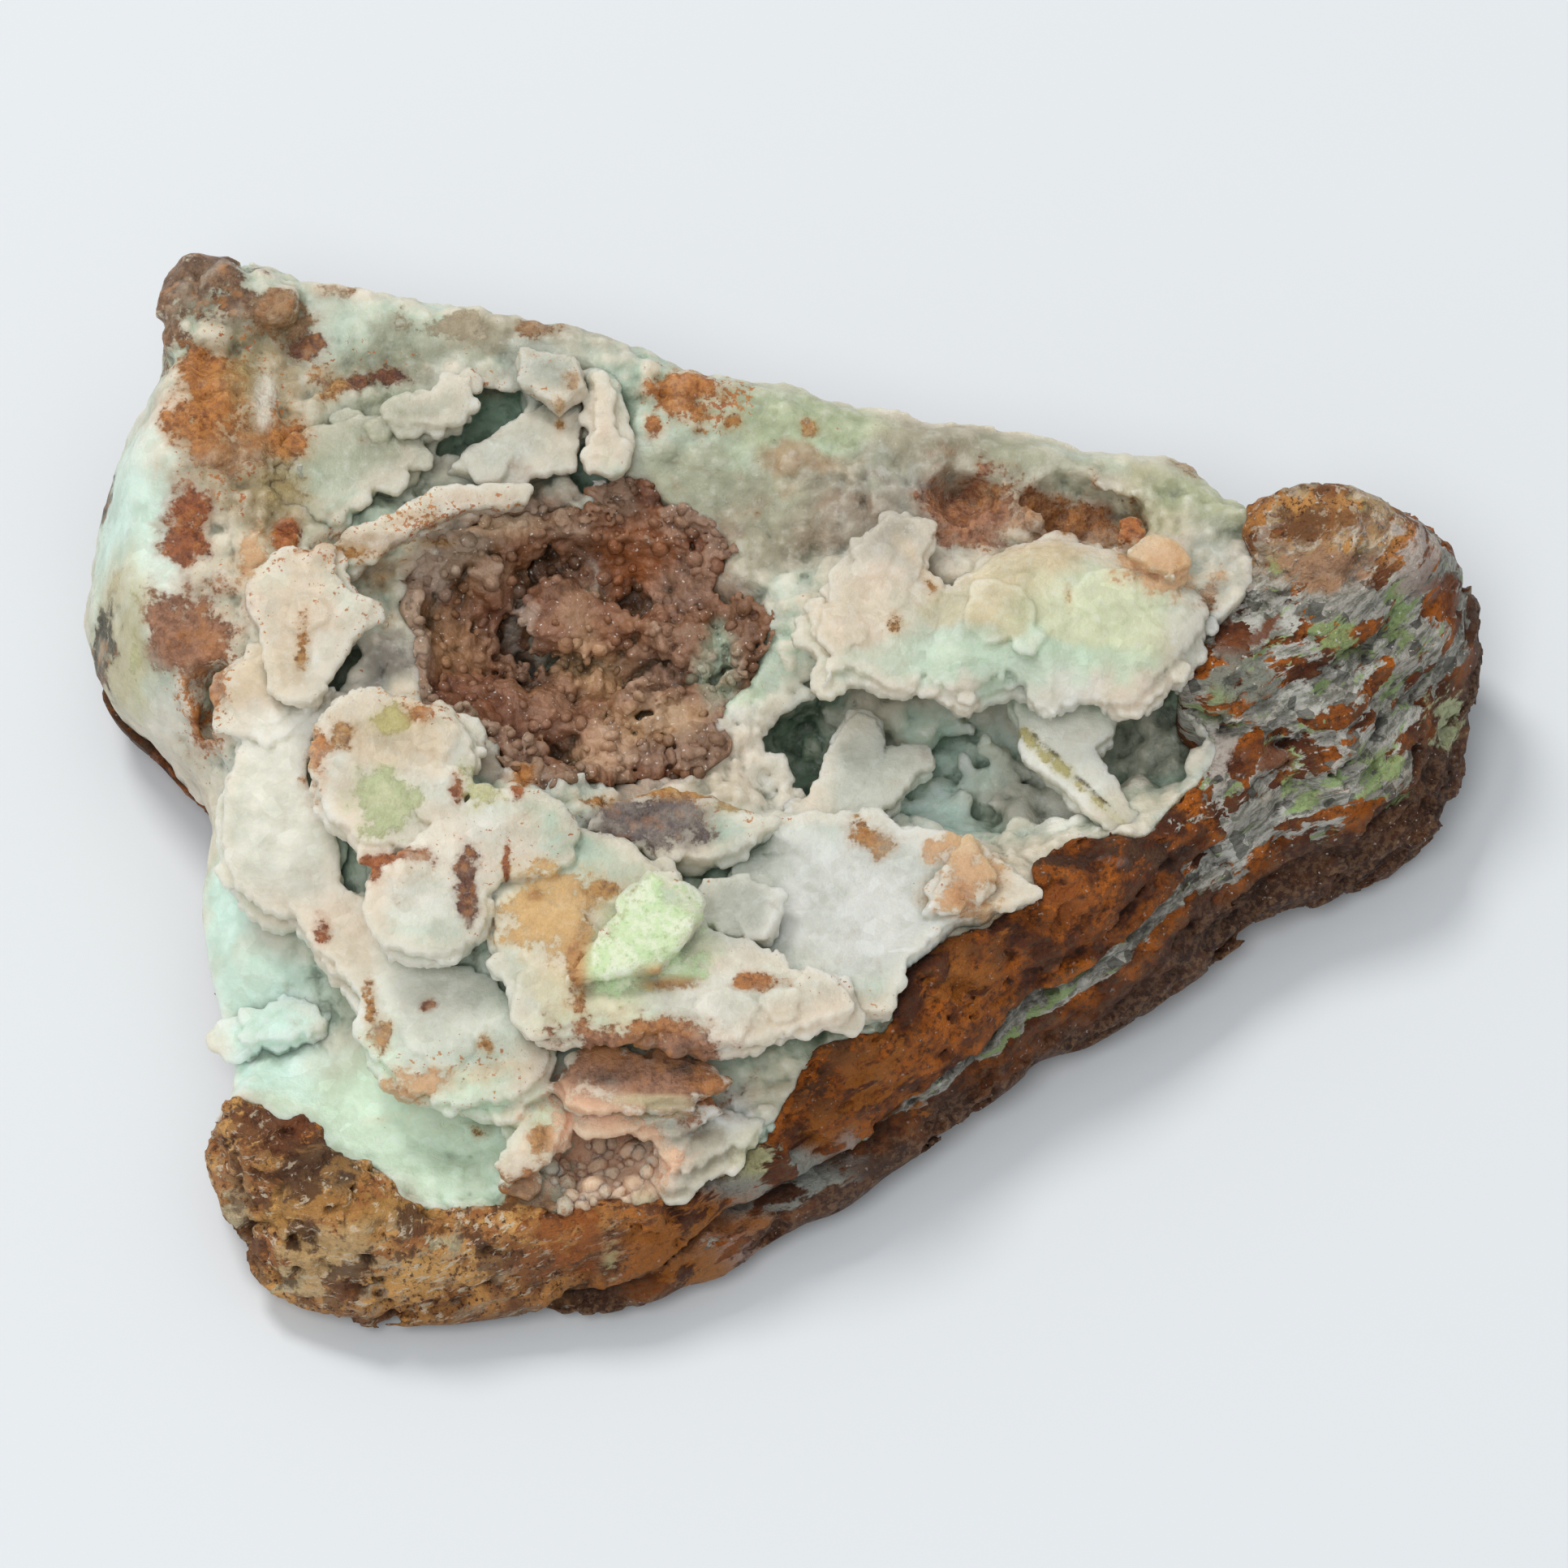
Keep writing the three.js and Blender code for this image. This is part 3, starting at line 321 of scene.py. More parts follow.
# %% A net of points with a distance kept on each
FAR = 9.0  # distance of a point that nothing is near, mm


class Net:
    """An even net of points in a box, with a distance on each point."""

    def __init__(self, low, high, spacing):
        self.low, self.spacing = np.array(low, float), spacing
        self.count = ((np.array(high) - self.low) / spacing).astype(int) + 1
        self.axes = [(self.low[i] + spacing * np.arange(self.count[i])).astype(np.float32)
                     for i in range(3)]
        self.field = np.full(self.count, FAR, np.float32)

    def with_field(self, field):
        """The same net with another distance on its points."""
        other = copy.copy(self)
        other.field = field
        return other

    def corner(self, low, high):
        """Slices of the net round a box, and the coordinates in it."""
        first, last = (((np.array(end) - self.low) / self.spacing).astype(int) for end in (low, high))
        first = np.clip(first - 1, 0, self.count - 1)
        last = np.clip(last + 2, first + 1, self.count)
        place = tuple(slice(a, b) for a, b in zip(first, last))
        x, y, z = (axis[part] for axis, part in zip(self.axes, place))
        return place, x[:, None, None], y[None, :, None], z[None, None, :]

    def near_skin(self, reach):
        """Net places close to the skin, and their coordinates."""
        place = np.nonzero(np.abs(self.field) < reach)
        return place, np.stack([self.axes[i][place[i]] for i in range(3)], 1)

    def value_at(self, points):
        """The distance at points, from the nearest point of this net."""
        at = np.round((points - self.low) / self.spacing).astype(int)
        beyond = ((at < 0) | (at >= self.count)).any(1)
        values = self.field[tuple(np.clip(at, 0, np.array(self.count) - 1).T)]
        return np.where(beyond, np.float32(FAR), values)

    def sampled(self, axes):
        """The distance at the crossings of other axes, from the nearest point of this net."""
        at = [np.round((axis - self.low[i]) / self.spacing).astype(int)
              for i, axis in enumerate(axes)]
        beyond = [(a < 0) | (a >= n) for a, n in zip(at, self.count)]
        values = self.field[np.ix_(*(np.clip(a, 0, n - 1) for a, n in zip(at, self.count)))]
        away = beyond[0][:, None, None] | beyond[1][None, :, None] | beyond[2][None, None, :]
        return np.where(away, np.float32(FAR), values)


GROUND_SPACING = 0.25
ground = Net((-53, -42.5, -1.5), (53.5, 41.5, 26.5), GROUND_SPACING)
plan_x, plan_y = np.meshgrid(*ground.axes[:2], indexing="ij")
level = ground.axes[2][None, None, :]
print("net of the ground:", ground.count, "in all", int(np.prod(ground.count)))

# %% [markdown]
# Nothing on the stone repeats, but its roughness has kinds: soft swells, round grains side by
# side, and small flat breaks. Each is a short function of the place that looks up a fixed table
# of random numbers, so the same stone comes out every time.

# %% Random patterns in space: soft waves, and cells round scattered centres
chance = np.random.default_rng(52)
TABLE = 64  # random numbers along each side of a table
soft_table = chance.random((TABLE,) * 3, dtype=np.float32) * 2 - 1
cell_table = chance.random((TABLE,) * 3 + (3,), dtype=np.float32)


def waves(points, size, start=0.0):
    """Soft random values between -1 and 1, changing over about the given size."""
    at = points / np.asarray(size, np.float32) + np.float32(start)
    corner = np.floor(at).astype(np.int32)
    part = (at - corner).astype(np.float32)
    part = part * part * (3 - 2 * part)
    low, high = corner % TABLE, (corner + 1) % TABLE
    total = 0
    for i, j, k in np.ndindex(2, 2, 2):
        share = ((part[:, 0] if i else 1 - part[:, 0]) * (part[:, 1] if j else 1 - part[:, 1])
                 * (part[:, 2] if k else 1 - part[:, 2]))
        cell = [(high if step else low)[:, axis] for axis, step in enumerate((i, j, k))]
        total = total + share * soft_table[tuple(cell)]
    return total


def wave_shift(points, size, start, apart=1):
    """Three soft waves at each point, to shift it by."""
    return np.stack([waves(points, size, start + apart * i) for i in range(3)], 1)


def cells(points, size, start=0.0, scatter=0.75):
    """Distance to the nearest scattered centre, the way to it, and its own random numbers."""
    at = points / np.asarray(size, np.float32) + np.float32(start)
    base = np.floor(at - 0.5).astype(np.int32)
    nearest = np.full(len(at), 9, np.float32)
    way = np.zeros((len(at), 3), np.float32)
    own = np.zeros((len(at), 3), np.float32)
    for step in np.ndindex(2, 2, 2):
        cell = base + np.array(step, np.int32)
        number = cell_table[tuple((cell % TABLE).T)]
        offset = at - (cell + 0.5 + (number - 0.5) * np.float32(scatter))
        distance = np.einsum("ij,ij->i", offset, offset)
        closer = distance < nearest
        nearest = np.where(closer, distance, nearest)
        way = np.where(closer[:, None], offset, way)
        own = np.where(closer[:, None], number, own)
    return np.sqrt(nearest), way, own


def grains(points, size, start=0.0):
    """Rounded grains side by side: 1 at the top of each, falling to the creases between."""
    nearest, _, own = cells(points, size, start)
    return np.clip(1 - 1.35 * nearest ** 2, 0, 1) * (0.65 + 0.35 * own[:, 0])


def flat_breaks(points, size, start=0.0):
    """Broken faces: every cell is a small flat face at its own height and tilt."""
    _, way, own = cells(points, size, start, 0.95)
    return (own[:, 0] - 0.5) + np.einsum("ij,ij->i", way, own[:, [2, 0, 1]] - 0.5) * 1.3


print("random numbers:", soft_table.size + cell_table.size)


# %% Smooth closed lines, and heights between spots
def closed_curve(points, steps):
    """Points along a smooth closed line through the given points."""
    here = np.array(points, float)
    before, after, beyond = np.roll(here, 1, 0), np.roll(here, -1, 0), np.roll(here, -2, 0)

    def gap(a, b):
        return np.sqrt(np.hypot(*(b - a)[:, :2].T))[:, None]

    g0, g1, g2 = gap(before, here), gap(here, after), gap(after, beyond)
    leave = ((here - before) / g0 - (after - before) / (g0 + g1) + (after - here) / g1) * g1
    arrive = ((after - here) / g1 - (beyond - here) / (g1 + g2) + (beyond - after) / g2) * g1
    rows = []
    for t in np.arange(steps) / steps:
        rows.append(here * (1 + t * t * (2 * t - 3)) + leave * (t * (1 - t) ** 2)
                    + after * (t * t * (3 - 2 * t)) + arrive * (t * t * (t - 1)))
    return np.stack(rows, 1).reshape(-1, here.shape[1])


def inside_distance(x, y, outline, steps=6):
    """Distance in plan to a smooth closed outline, positive inside it."""
    line = closed_curve(outline, steps)
    nearest = np.full(x.shape, 1e9, np.float32)
    inside = np.zeros(x.shape, bool)
    for (ax, ay), (bx, by) in zip(line, np.roll(line, -1, 0)):
        ex, ey = bx - ax, by - ay
        along = np.clip(((x - ax) * ex + (y - ay) * ey) / (ex * ex + ey * ey + 1e-9), 0, 1)
        nearest = np.minimum(nearest, (x - ax - along * ex) ** 2 + (y - ay - along * ey) ** 2)
        if ay != by:
            inside ^= ((ay > y) != (by > y)) & (x < ax + (y - ay) * ex / ey)
    return np.where(inside, 1, -1) * np.sqrt(nearest)


def height_between(spots, reach, x, y):
    """Height from spot heights, each weighted by its nearness."""
    weights = np.zeros(x.shape, np.float32)
    total = np.zeros(x.shape, np.float32)
    for sx, sy, sz in spots:
        distance = ((x - sx) ** 2 + (y - sy) ** 2) / reach ** 2
        weight = np.exp(-distance) + 1e-6 / (1 + distance ** 2)
        weights += weight
        total += weight * sz
    return total / weights


print("points on the smooth outline:", len(closed_curve(OUTLINE, 6)))


# %% Joins, cuts and other sums with distances
def join(a, b, blend):
    """The nearer of two distances, with a soft fillet of the given size between them."""
    mix = np.clip(0.5 + 0.5 * (b - a) / blend, 0, 1)
    return b + (a - b) * mix - blend * mix * (1 - mix)


def cut(a, b, blend):
    """The first shape without the second, with a soft edge."""
    return -join(-a, b, blend)


def steepness(height_map):
    along_x, along_y = np.gradient(height_map, GROUND_SPACING)
    return np.sqrt(1 + along_x ** 2 + along_y ** 2)


def smooth_step(values, low, high):
    part = np.clip((values - low) / (high - low), 0, 1)
    return part * part * (3 - 2 * part)


def blurred(volume, radius):
    """Mean of a volume over a box of the given radius in cells."""
    for axis in range(3):
        total = np.cumsum(volume, axis=axis, dtype=np.float32)
        steps = np.arange(volume.shape[axis])
        ahead = np.take(total, np.minimum(steps + radius, volume.shape[axis] - 1), axis)
        behind = np.take(total, np.maximum(steps - radius - 1, 0), axis)
        volume = (ahead - behind) / (2 * radius + 1)
    return volume


def plan_points(x, y, z=0.0):
    return np.stack([x.ravel(), y.ravel(), np.full(x.size, z)], 1).astype(np.float32)

# %% [markdown]
# The stone as a whole is a low wedge with three sides. It could be sculpted by hand, but a top
# height and an underside height over the plan hold its form in two maps that are easy to
# change. The walls curve from the widest line up to the top and in to the foot.

# %% The whole stone: top surface, walls and underside
HEIGHT_REACH = 4.6
OUTSIDE_FALL = 4.0  # how steeply the surfaces part outside the outline
turn_around = np.arctan2(plan_y - CENTRE[1], plan_x - CENTRE[0])
outline_line = closed_curve(OUTLINE, 20)
line_turn = np.arctan2(outline_line[:, 1] - CENTRE[1], outline_line[:, 0] - CENTRE[0])
line_reach = np.hypot(outline_line[:, 0] - CENTRE[0], outline_line[:, 1] - CENTRE[1])


def around(values, window=9):
    """A value along the outline, spread over the plan by the turn round the middle."""
    order = np.argsort(line_turn)
    ring = np.pad(values[order], window // 2, mode="wrap")
    evened = np.convolve(ring, np.ones(window) / window, "valid")
    return np.interp(turn_around, line_turn[order], evened, period=2 * math.pi)


flat_points = plan_points(plan_x, plan_y)


def plan_waves(size, start):
    return waves(flat_points, size, start).reshape(plan_x.shape)


depth = around(line_reach) - np.hypot(plan_x - CENTRE[0], plan_y - CENTRE[1])
depth = depth + 0.5 * plan_waves(3.6, 3.0)
waist = around(outline_line[:, 2])
wall_width = around(outline_line[:, 3])
top_height = height_between(SPOT_HEIGHTS, HEIGHT_REACH, plan_x, plan_y) + 0.3 * plan_waves(5.0, 1.0)
part = np.clip(depth / wall_width, 0, 1)
top_surface = waist + (top_height - waist) * np.sin(part * math.pi / 2)
top_surface = top_surface + OUTSIDE_FALL * np.minimum(depth, 0)
under_depth = (depth + 1.2 * plan_waves(5.0, 8.0) * np.clip(depth / 4, 0, 1)) / FOOT_INSET
underside = waist * np.interp(under_depth, [0, 0.12, 0.36, 1], [1, 0.7, 0.34, 0])
underside = underside + OUTSIDE_FALL * np.maximum(-depth, 0)
underside = np.maximum(underside, 0.5 * plan_waves(6.0, 5.0))
stone = np.maximum(
    (level - top_surface[..., None]) / steepness(top_surface)[..., None],
    (underside[..., None] - level) / steepness(underside)[..., None]).astype(np.float32)
stone = np.maximum(stone, -depth[..., None]).astype(np.float32)  # no knife edge round the outline
print("highest point of the top surface, mm:", round(float(top_surface.max()), 1))

# %% The space of the crust: above its underside and inside its edge
FLOOR_REACH = 9.0
crust_floor = height_between(CRUST_FLOOR, FLOOR_REACH, plan_x, plan_y) + 0.5 * plan_waves(3.5, 6.0)
edge_inside = inside_distance(plan_x, plan_y, CRUST_EDGE)
edge_inside = edge_inside + 0.9 * plan_waves(3.2, 2.0) + 0.4 * plan_waves(1.3, 4.0)
crust_space = np.maximum(
    -edge_inside[..., None], crust_floor[..., None] - level).astype(np.float32)
print("lowest underside of the crust, mm:", round(float(crust_floor[edge_inside > 0].min()), 1))

# %% [markdown]
# Hollows and lumps are eggs, bent by soft waves. A plate of the real crust is a few thin sheets
# that grew one over the other, each with a scalloped edge, and small scales sit on its rim and
# face. All are told as distances too, so that they melt into what carries them.

# %% Eggs, each worked out only in its own corner of a net
WARP_SIZE, LUMP_WARP_SIZE = 3.4, 2.2  # size of the waves that bend hollows and lumps


def egg(at, half, turn, x, y, z):
    """Distance to an egg shape, close to its skin."""
    c, s = math.cos(math.radians(turn)), math.sin(math.radians(turn))
    u, v, w = (x - at[0]) * c + (y - at[1]) * s, (y - at[1]) * c - (x - at[0]) * s, z - at[2]
    near = np.sqrt((u / half[0]) ** 2 + (v / half[1]) ** 2 + (w / half[2]) ** 2)
    slope = np.sqrt((u / half[0] ** 2) ** 2 + (v / half[1] ** 2) ** 2 + (w / half[2] ** 2) ** 2)
    return near * (near - 1) / np.maximum(slope, 1e-4)


def warped(x, y, z, amount, size, start):
    """Coordinates shifted by soft waves, so that a plain shape comes out uneven."""
    shape = np.broadcast(x, y, z).shape
    spread = [np.broadcast_to(v, shape).ravel() for v in (x, y, z)]
    points = np.stack(spread, 1)
    return [(v + amount * waves(points, size, start + 9 * i)).reshape(shape)
            for i, v in enumerate(spread)]


def cut_egg(net, at, half, turn, blend, unevenness, start):
    margin = max(half) + 2.5
    place, x, y, z = net.corner(np.array(at) - margin, np.array(at) + margin)
    x, y, z = warped(x, y, z, unevenness, WARP_SIZE, start)
    net.field[place] = cut(net.field[place], egg(at, half, turn, x, y, z), blend)


def add_egg(net, at, half, turn, blend, unevenness=0.0):
    margin = max(half) + 1.5 + unevenness
    place, x, y, z = net.corner(np.array(at) - margin, np.array(at) + margin)
    if unevenness:
        x, y, z = warped(x, y, z, unevenness, LUMP_WARP_SIZE, at[0])
    net.field[place] = join(net.field[place], egg(at, half, turn, x, y, z), blend)


# %% Plates: thin sheets with scalloped edges on a root
def rounded(side, face, rounding):
    """A slab's distance from the distances past its edge and past its face."""
    side, face = side + rounding, face + rounding
    return (np.minimum(np.maximum(side, face), 0)
            + np.hypot(np.maximum(side, 0), np.maximum(face, 0)) - rounding)


PLATE_BLEND, FLAKE_BLEND = 0.15, 0.1
EDGE_LOBES = ((2.8, 0.7), (1.2, 0.6), (0.6, 0.4))  # size of the lobes and how far they stand out
SHEETS = (  # a plate is a few thin sheets: how far out, how far down, thickness, its own pattern
    (0.1, 0.0, 0.75, 11.0), (0.05, 0.6, 0.8, 23.0), (-0.1, 1.3, 0.9, 37.0))
CUT_FACE = 0.5  # a plate less ragged than this keeps the straight sides of its outline
ROOT_INSET = 1.5  # the root that carries the sheets stands back by this
DOME_SHARE = 0.35


def plate_top(shape, x, y):
    """Height of a plate's flat face at x, y."""
    outline, top, lean = shape[:3]
    middle = np.array(outline, float).mean(0)
    return top + lean[0] * (x - middle[0]) + lean[1] * (y - middle[1])


def plate_face(shape, x, y, inside):
    """Height of a plate's face with its dome, given the distance in from the edge."""
    shoulder = np.clip(inside / max(0.55 * inside.max(), 1), 0, 1)
    return plate_top(shape, x, y) + DOME_SHARE * shape[3] * np.sin(shoulder * math.pi / 2)


def slab_of(side, z, top, thick, rounding):
    return rounded(side, np.abs(z - (top - thick / 2)) - thick / 2, rounding)


def add_plate(net, shape):
    """Join a plate to a net: thin sheets with scalloped edges on a root."""
    outline, top, lean, dome, thick, ragged = shape
    points = np.array(outline, float)
    room = 3 + abs(dome)
    place, x, y, z = net.corner(
        [*points.min(0) - 3, top - thick - room], [*points.max(0) + 3, top + room])
    across, up = np.broadcast_arrays(x[..., 0], y[..., 0])
    flat = plan_points(across, up)

    def pattern(values):
        return values.reshape(across.shape)

    inside = inside_distance(across, up, outline, 1 if ragged < CUT_FACE else 6)
    bent = flat + 0.8 * wave_shift(flat, 2.0, 3.0)
    steps = 0.13 * flat_breaks(bent, 6.5, top) + 0.03 * waves(flat, 3.0, top)
    face = (plate_face(shape, across, up, inside) + (0.3 + 0.7 * ragged) * pattern(steps))[..., None]
    slab = slab_of(ROOT_INSET - inside[..., None], z, face - 0.4, thick - 0.4, 0.6)
    for out, drop, sheet_thick, start in SHEETS:
        if drop + sheet_thick > thick + 0.2:
            continue
        edge = inside + out + (0.2 + 0.7 * ragged) * pattern(waves(flat, 4.0, start))
        for size, height in EDGE_LOBES:
            share = ragged if size > 1.5 else 0.5 + 0.5 * ragged
            edge = edge + share * height * pattern(grains(flat, size, start) - 0.65)
        slab = join(slab, slab_of(-edge[..., None], z, face - drop, sheet_thick, 0.12), PLATE_BLEND)
    net.field[place] = join(net.field[place], slab, PLATE_BLEND)


print(len(SHEETS), "sheets a plate, with lobes of", [size for size, _ in EDGE_LOBES], "mm")


# %% Flakes round a plate's edge and on its face
def add_flake(net, at, tilt, radius, thick, start):
    """Join a small flake with an uneven outline, tilted by a slope along X and Y."""
    place, x, y, z = net.corner(np.array(at) - radius - 0.8, np.array(at) + radius + 0.8)
    up = np.array([-tilt[0], -tilt[1], 1.0]) / math.sqrt(1 + tilt[0] ** 2 + tilt[1] ** 2)
    dx, dy, dz = x - at[0], y - at[1], z - at[2]
    height = dx * up[0] + dy * up[1] + dz * up[2]
    out = np.sqrt(np.maximum(dx * dx + dy * dy + dz * dz - height * height, 0))
    turn = np.arctan2(dy, dx)
    uneven = (1 + 0.09 * np.sin(3 * turn + start) + 0.06 * np.sin(5 * turn + 2 * start)
              + 0.03 * np.sin(9 * turn))
    flake = rounded(out - radius * uneven, np.abs(height) - thick / 2, 0.4 * thick)
    net.field[place] = join(net.field[place], flake, FLAKE_BLEND)


def edge_flakes(net, shape, spacing, draw):
    """Flakes grown round a plate's edge, a little below its face."""
    outline, _, lean, _, thick, ragged = shape
    line = closed_curve(outline, 8)
    ahead, behind = np.roll(line, -1, 0), np.roll(line, 1, 0)
    turn = np.sign((line[:, 0] * ahead[:, 1] - ahead[:, 0] * line[:, 1]).sum())
    outward = turn * np.stack([ahead[:, 1] - behind[:, 1], behind[:, 0] - ahead[:, 0]], 1)
    outward /= np.hypot(*outward.T)[:, None] + 1e-6
    along = np.concatenate([[0], np.cumsum(np.hypot(*(ahead - line).T))])
    count = int(ragged * along[-1] / spacing)
    for i in range(count):
        number = np.searchsorted(along, (i + draw.random()) / count * along[-1]) - 1
        radius = 0.7 + 1.1 * draw.random() ** 1.5
        x, y = line[number] - outward[number] * radius * (0.35 + 0.7 * draw.random())
        drop = 0.3 + 0.5 * (thick - 1.2) * draw.random() ** 2
        tilt = (np.array(lean) - outward[number] * (0.2 * draw.random())
                + 0.15 * (draw.random(2) - 0.5))
        add_flake(net, (x, y, plate_top(shape, x, y) - drop), tilt, radius,
                  0.6 + 0.2 * draw.random(), i)
    return count


def face_flakes(net, shape, each, draw):
    """Thin scales lying on a plate's face, one for about so many square millimetres."""
    outline, _, lean, _, _, ragged = shape
    low, high = np.array(outline, float).min(0), np.array(outline, float).max(0)
    spots = low + (high - low) * draw.random((1 + int(ragged * np.prod(high - low) / each), 2))
    x, y = spots.T
    inside = inside_distance(x, y, outline)
    heights = plate_face(shape, x, y, inside)
    count = 0
    for i in np.nonzero(inside > 0.8)[0]:
        radius = 1.2 + 1.8 * draw.random() ** 1.5
        tilt = np.array(lean) + 0.07 * (draw.random(2) - 0.5)
        add_flake(net, (x[i], y[i], heights[i] - 0.12), tilt, radius, 0.6, 1.7 * i)
        count += 1
    return count

# %% [markdown]
# Between and below the plates lies the ground of the crust. In the open it is knobbly, with
# round grains on round grains; in the bowl and on the left face it is as smooth as wax. The
# hollows are cut first, then the relief is laid on by moving the skin out and in.

# %% The ground of the crust, knobbly where it lies open and smooth where it is sheltered
SMOOTH_PLACES = [  # x, y, z and reach along X and Y, then how smooth
    (-30, -24, 8, 10, 8, 0.95), (-38, -14, 9, 4, 9, 0.9), (-46, 14, 14, 4, 13, 0.9),
    (5, -12, 16, 9, 6, 0.8), (-29, 31, 21, 9, 3, 0.55), (10, 23, 20, 20, 3, 0.55),
    (-35, -6, 17, 4, 6, 0.6), (14, 3, 8, 9, 5, 0.2), (6, 0, 13.5, 5, 3, 0.5),
    (-20, 23, 20, 5, 2.5, 0.7), (20, 7, 20, 6, 5, 0.3), (-4, 20, 19, 8, 4, 0.5),
]


def spot_distance(points, spot, depth):
    """Distance from a spot, 1 at its reach; it reaches farther up and down by the depth."""
    x, y, z, a, b = spot
    return np.sqrt(((points[:, 0] - x) / a) ** 2 + ((points[:, 1] - y) / b) ** 2
                   + ((points[:, 2] - z) / (max(a, b) + depth)) ** 2)


def nearness(points, spots, softness=0.5):
    """How near each point is to any of some spots, from 0 to their strength."""
    near = np.zeros(len(points), np.float32)
    for *spot, strength in spots:
        past = 1 + softness - spot_distance(points, spot, 1)
        near = np.maximum(near, strength * np.clip(past / (2 * softness), 0, 1))
    return near


OPEN_FRONT = ((15.5, -1.5, 18.6), (14.5, 6.2, 5.6), -3)  # open space in front of the domed ledge
HOLLOW_WARP = 2.0
ground.field = stone.copy()
for x, y, z, radius in CRUST_LUMPS:
    add_egg(ground, (x, y, z), (radius, radius, 0.8 * radius), 0, 0.5)
cut_egg(ground, *OPEN_FRONT, 0.4, 0.8, 30.0)
cut_egg(ground, *CENTRAL_HOLLOW, 0.6, HOLLOW_WARP, 1.0)
for number, hollow in enumerate(HOLLOWS.values()):
    cut_egg(ground, *hollow, 0.4, 1.1, 2.0 + number)

for at, half in CAVE_LUMPS:
    add_egg(ground, at, half, 15, 0.7, 1.6)

# %% Knobbly relief of the ground: round grains on round grains
STANDS_OUT = 0.4  # the relief may pass the outline by this
GROUND_GRAINS = ((3.4, 1.1), (1.6, 0.7), (0.8, 0.4))  # size and height
place, points = ground.near_skin(1.8)
knobbly = 1 - 0.93 * nearness(points, SMOOTH_PLACES)
knobbly *= 0.45 + 0.55 * smooth_step(depth[place[:2]], 0.0, 4.0)
relief = 0.4 * waves(points, 5.0, 12.0)
for size, height in GROUND_GRAINS:
    relief += height * knobbly * (grains(points, size, size) - 0.5)
ground.field[place] -= relief
ground.field = np.maximum(np.maximum(ground.field, crust_space),
                          -(depth[..., None] + STANDS_OUT))
print("relief of the ground from", round(float(relief.min()), 2), "to", round(float(relief.max()), 2))

# %% [markdown]
# The plates are what one sees first: thin, nearly flat sheets that overlap like shingles, each
# with a rim of tiny round lobes. They get finer nets of their own, one for the left half and one
# for the right. Every plate is a rounded slab whose edge is scalloped, and small round flakes
# are grown round its edge at several heights.

# %% Plates in two fine nets
PLATE_SPACING = {"left": 0.2, "right": 0.17}
EDGE_FLAKE_EVERY = 2.6  # a flake for about so many mm of edge
FACE_FLAKE_AREA = 45.0  # a scale for about so many square mm of face
LEFT_OF = -2.5  # a plate whose middle lies left of this is in the left half
halves = {"left": [], "right": []}
for plate_name, shape in PLATES.items():
    half_name = "left" if np.mean([p[0] for p in shape[0]]) < LEFT_OF else "right"
    halves[half_name].append((*shape, RAGGED.get(plate_name, 1.0)))


def plate_net(shapes, spacing, seed):
    """Plates and their flakes on a net that is just large enough."""
    corners = np.concatenate([np.array(shape[0], float) for shape in shapes])
    tops = [shape[1] for shape in shapes]
    net = Net((*corners.min(0) - 4, min(tops) - 8), (*corners.max(0) + 4, max(tops) + 5),
              spacing)
    draw = np.random.default_rng(seed)
    flakes = 0
    for shape in shapes:
        add_plate(net, shape)
    for shape in shapes:
        flakes += edge_flakes(net, shape, EDGE_FLAKE_EVERY, draw)
        flakes += face_flakes(net, shape, FACE_FLAKE_AREA, draw)
    place, points = net.near_skin(1.2)
    relief = 0.04 * waves(points, 1.8, 31.0) + 0.07 * (grains(points, 0.9, 23.0) - 0.5)
    net.field[place] -= relief
    print(len(shapes), "plates with", flakes, "flakes on a net of", int(np.prod(net.count)))
    return net


left_plates = plate_net(halves["left"], PLATE_SPACING["left"], 7)
right_plates = plate_net(halves["right"], PLATE_SPACING["right"], 8)

# %% [markdown]
# The central hollow is lined with a brown crust of small round grains, thicker at the foot, with
# a few rounded lobes and a dark hole on the left. It is the same egg as the hollow, a little
# larger, with a smaller and higher egg taken out of it.

# %% The brown lining of the central hollow: a bowl of small round grains
LINING_SIDE, LINING_LIFT, LINING_DEEPER = 1.3, 2.4, 0.7  # how its inner egg differs from the hollow
HOLLOW_MARGIN = 0.2  # the lining reaches this far into the crust that it grew on
LINING_SPACING = 0.16
at, half, turn = CENTRAL_HOLLOW
lining = Net(np.array(at) - 15, np.array(at) + (15, 15, 6), LINING_SPACING)
place, x, y, z = lining.corner(lining.low, np.array(at) + 20)
wx, wy, wz = warped(x, y, z, HOLLOW_WARP, WARP_SIZE, 1.0)
outer = egg(at, half, turn, wx, wy, wz) - HOLLOW_MARGIN
bowl_at = (at[0], at[1], at[2] + LINING_LIFT)
bowl_half = (half[0] - LINING_SIDE, half[1] - LINING_SIDE, half[2] + LINING_DEEPER)
field = cut(outer, egg(bowl_at, bowl_half, turn, wx, wy, wz), 0.6)
for lx, ly, lz, a, b, c in HOLLOW_LOBES:
    field = join(field, egg((lx, ly, lz), (a, b, c), 0, wx, wy, wz), 0.8)
lid = ground.with_field(stone).sampled(lining.axes)
field = np.maximum(np.maximum(field, outer), lid + 0.1)
lining.field = cut(field, egg(*HOLLOW_HOLE, wx, wy, wz), 0.6).astype(np.float32)
place, points = lining.near_skin(1.8)
relief = 0.9 * waves(points, 3.2, 4.0) + 0.9 * (grains(points, 2.1, 5.0) - 0.45)
relief += 0.7 * (grains(points, 1.05, 9.0) - 0.45) + 0.35 * (grains(points, 0.6, 13.0) - 0.45)
lining.field[place] -= relief
lining.field = np.maximum(lining.field, outer - 0.1)
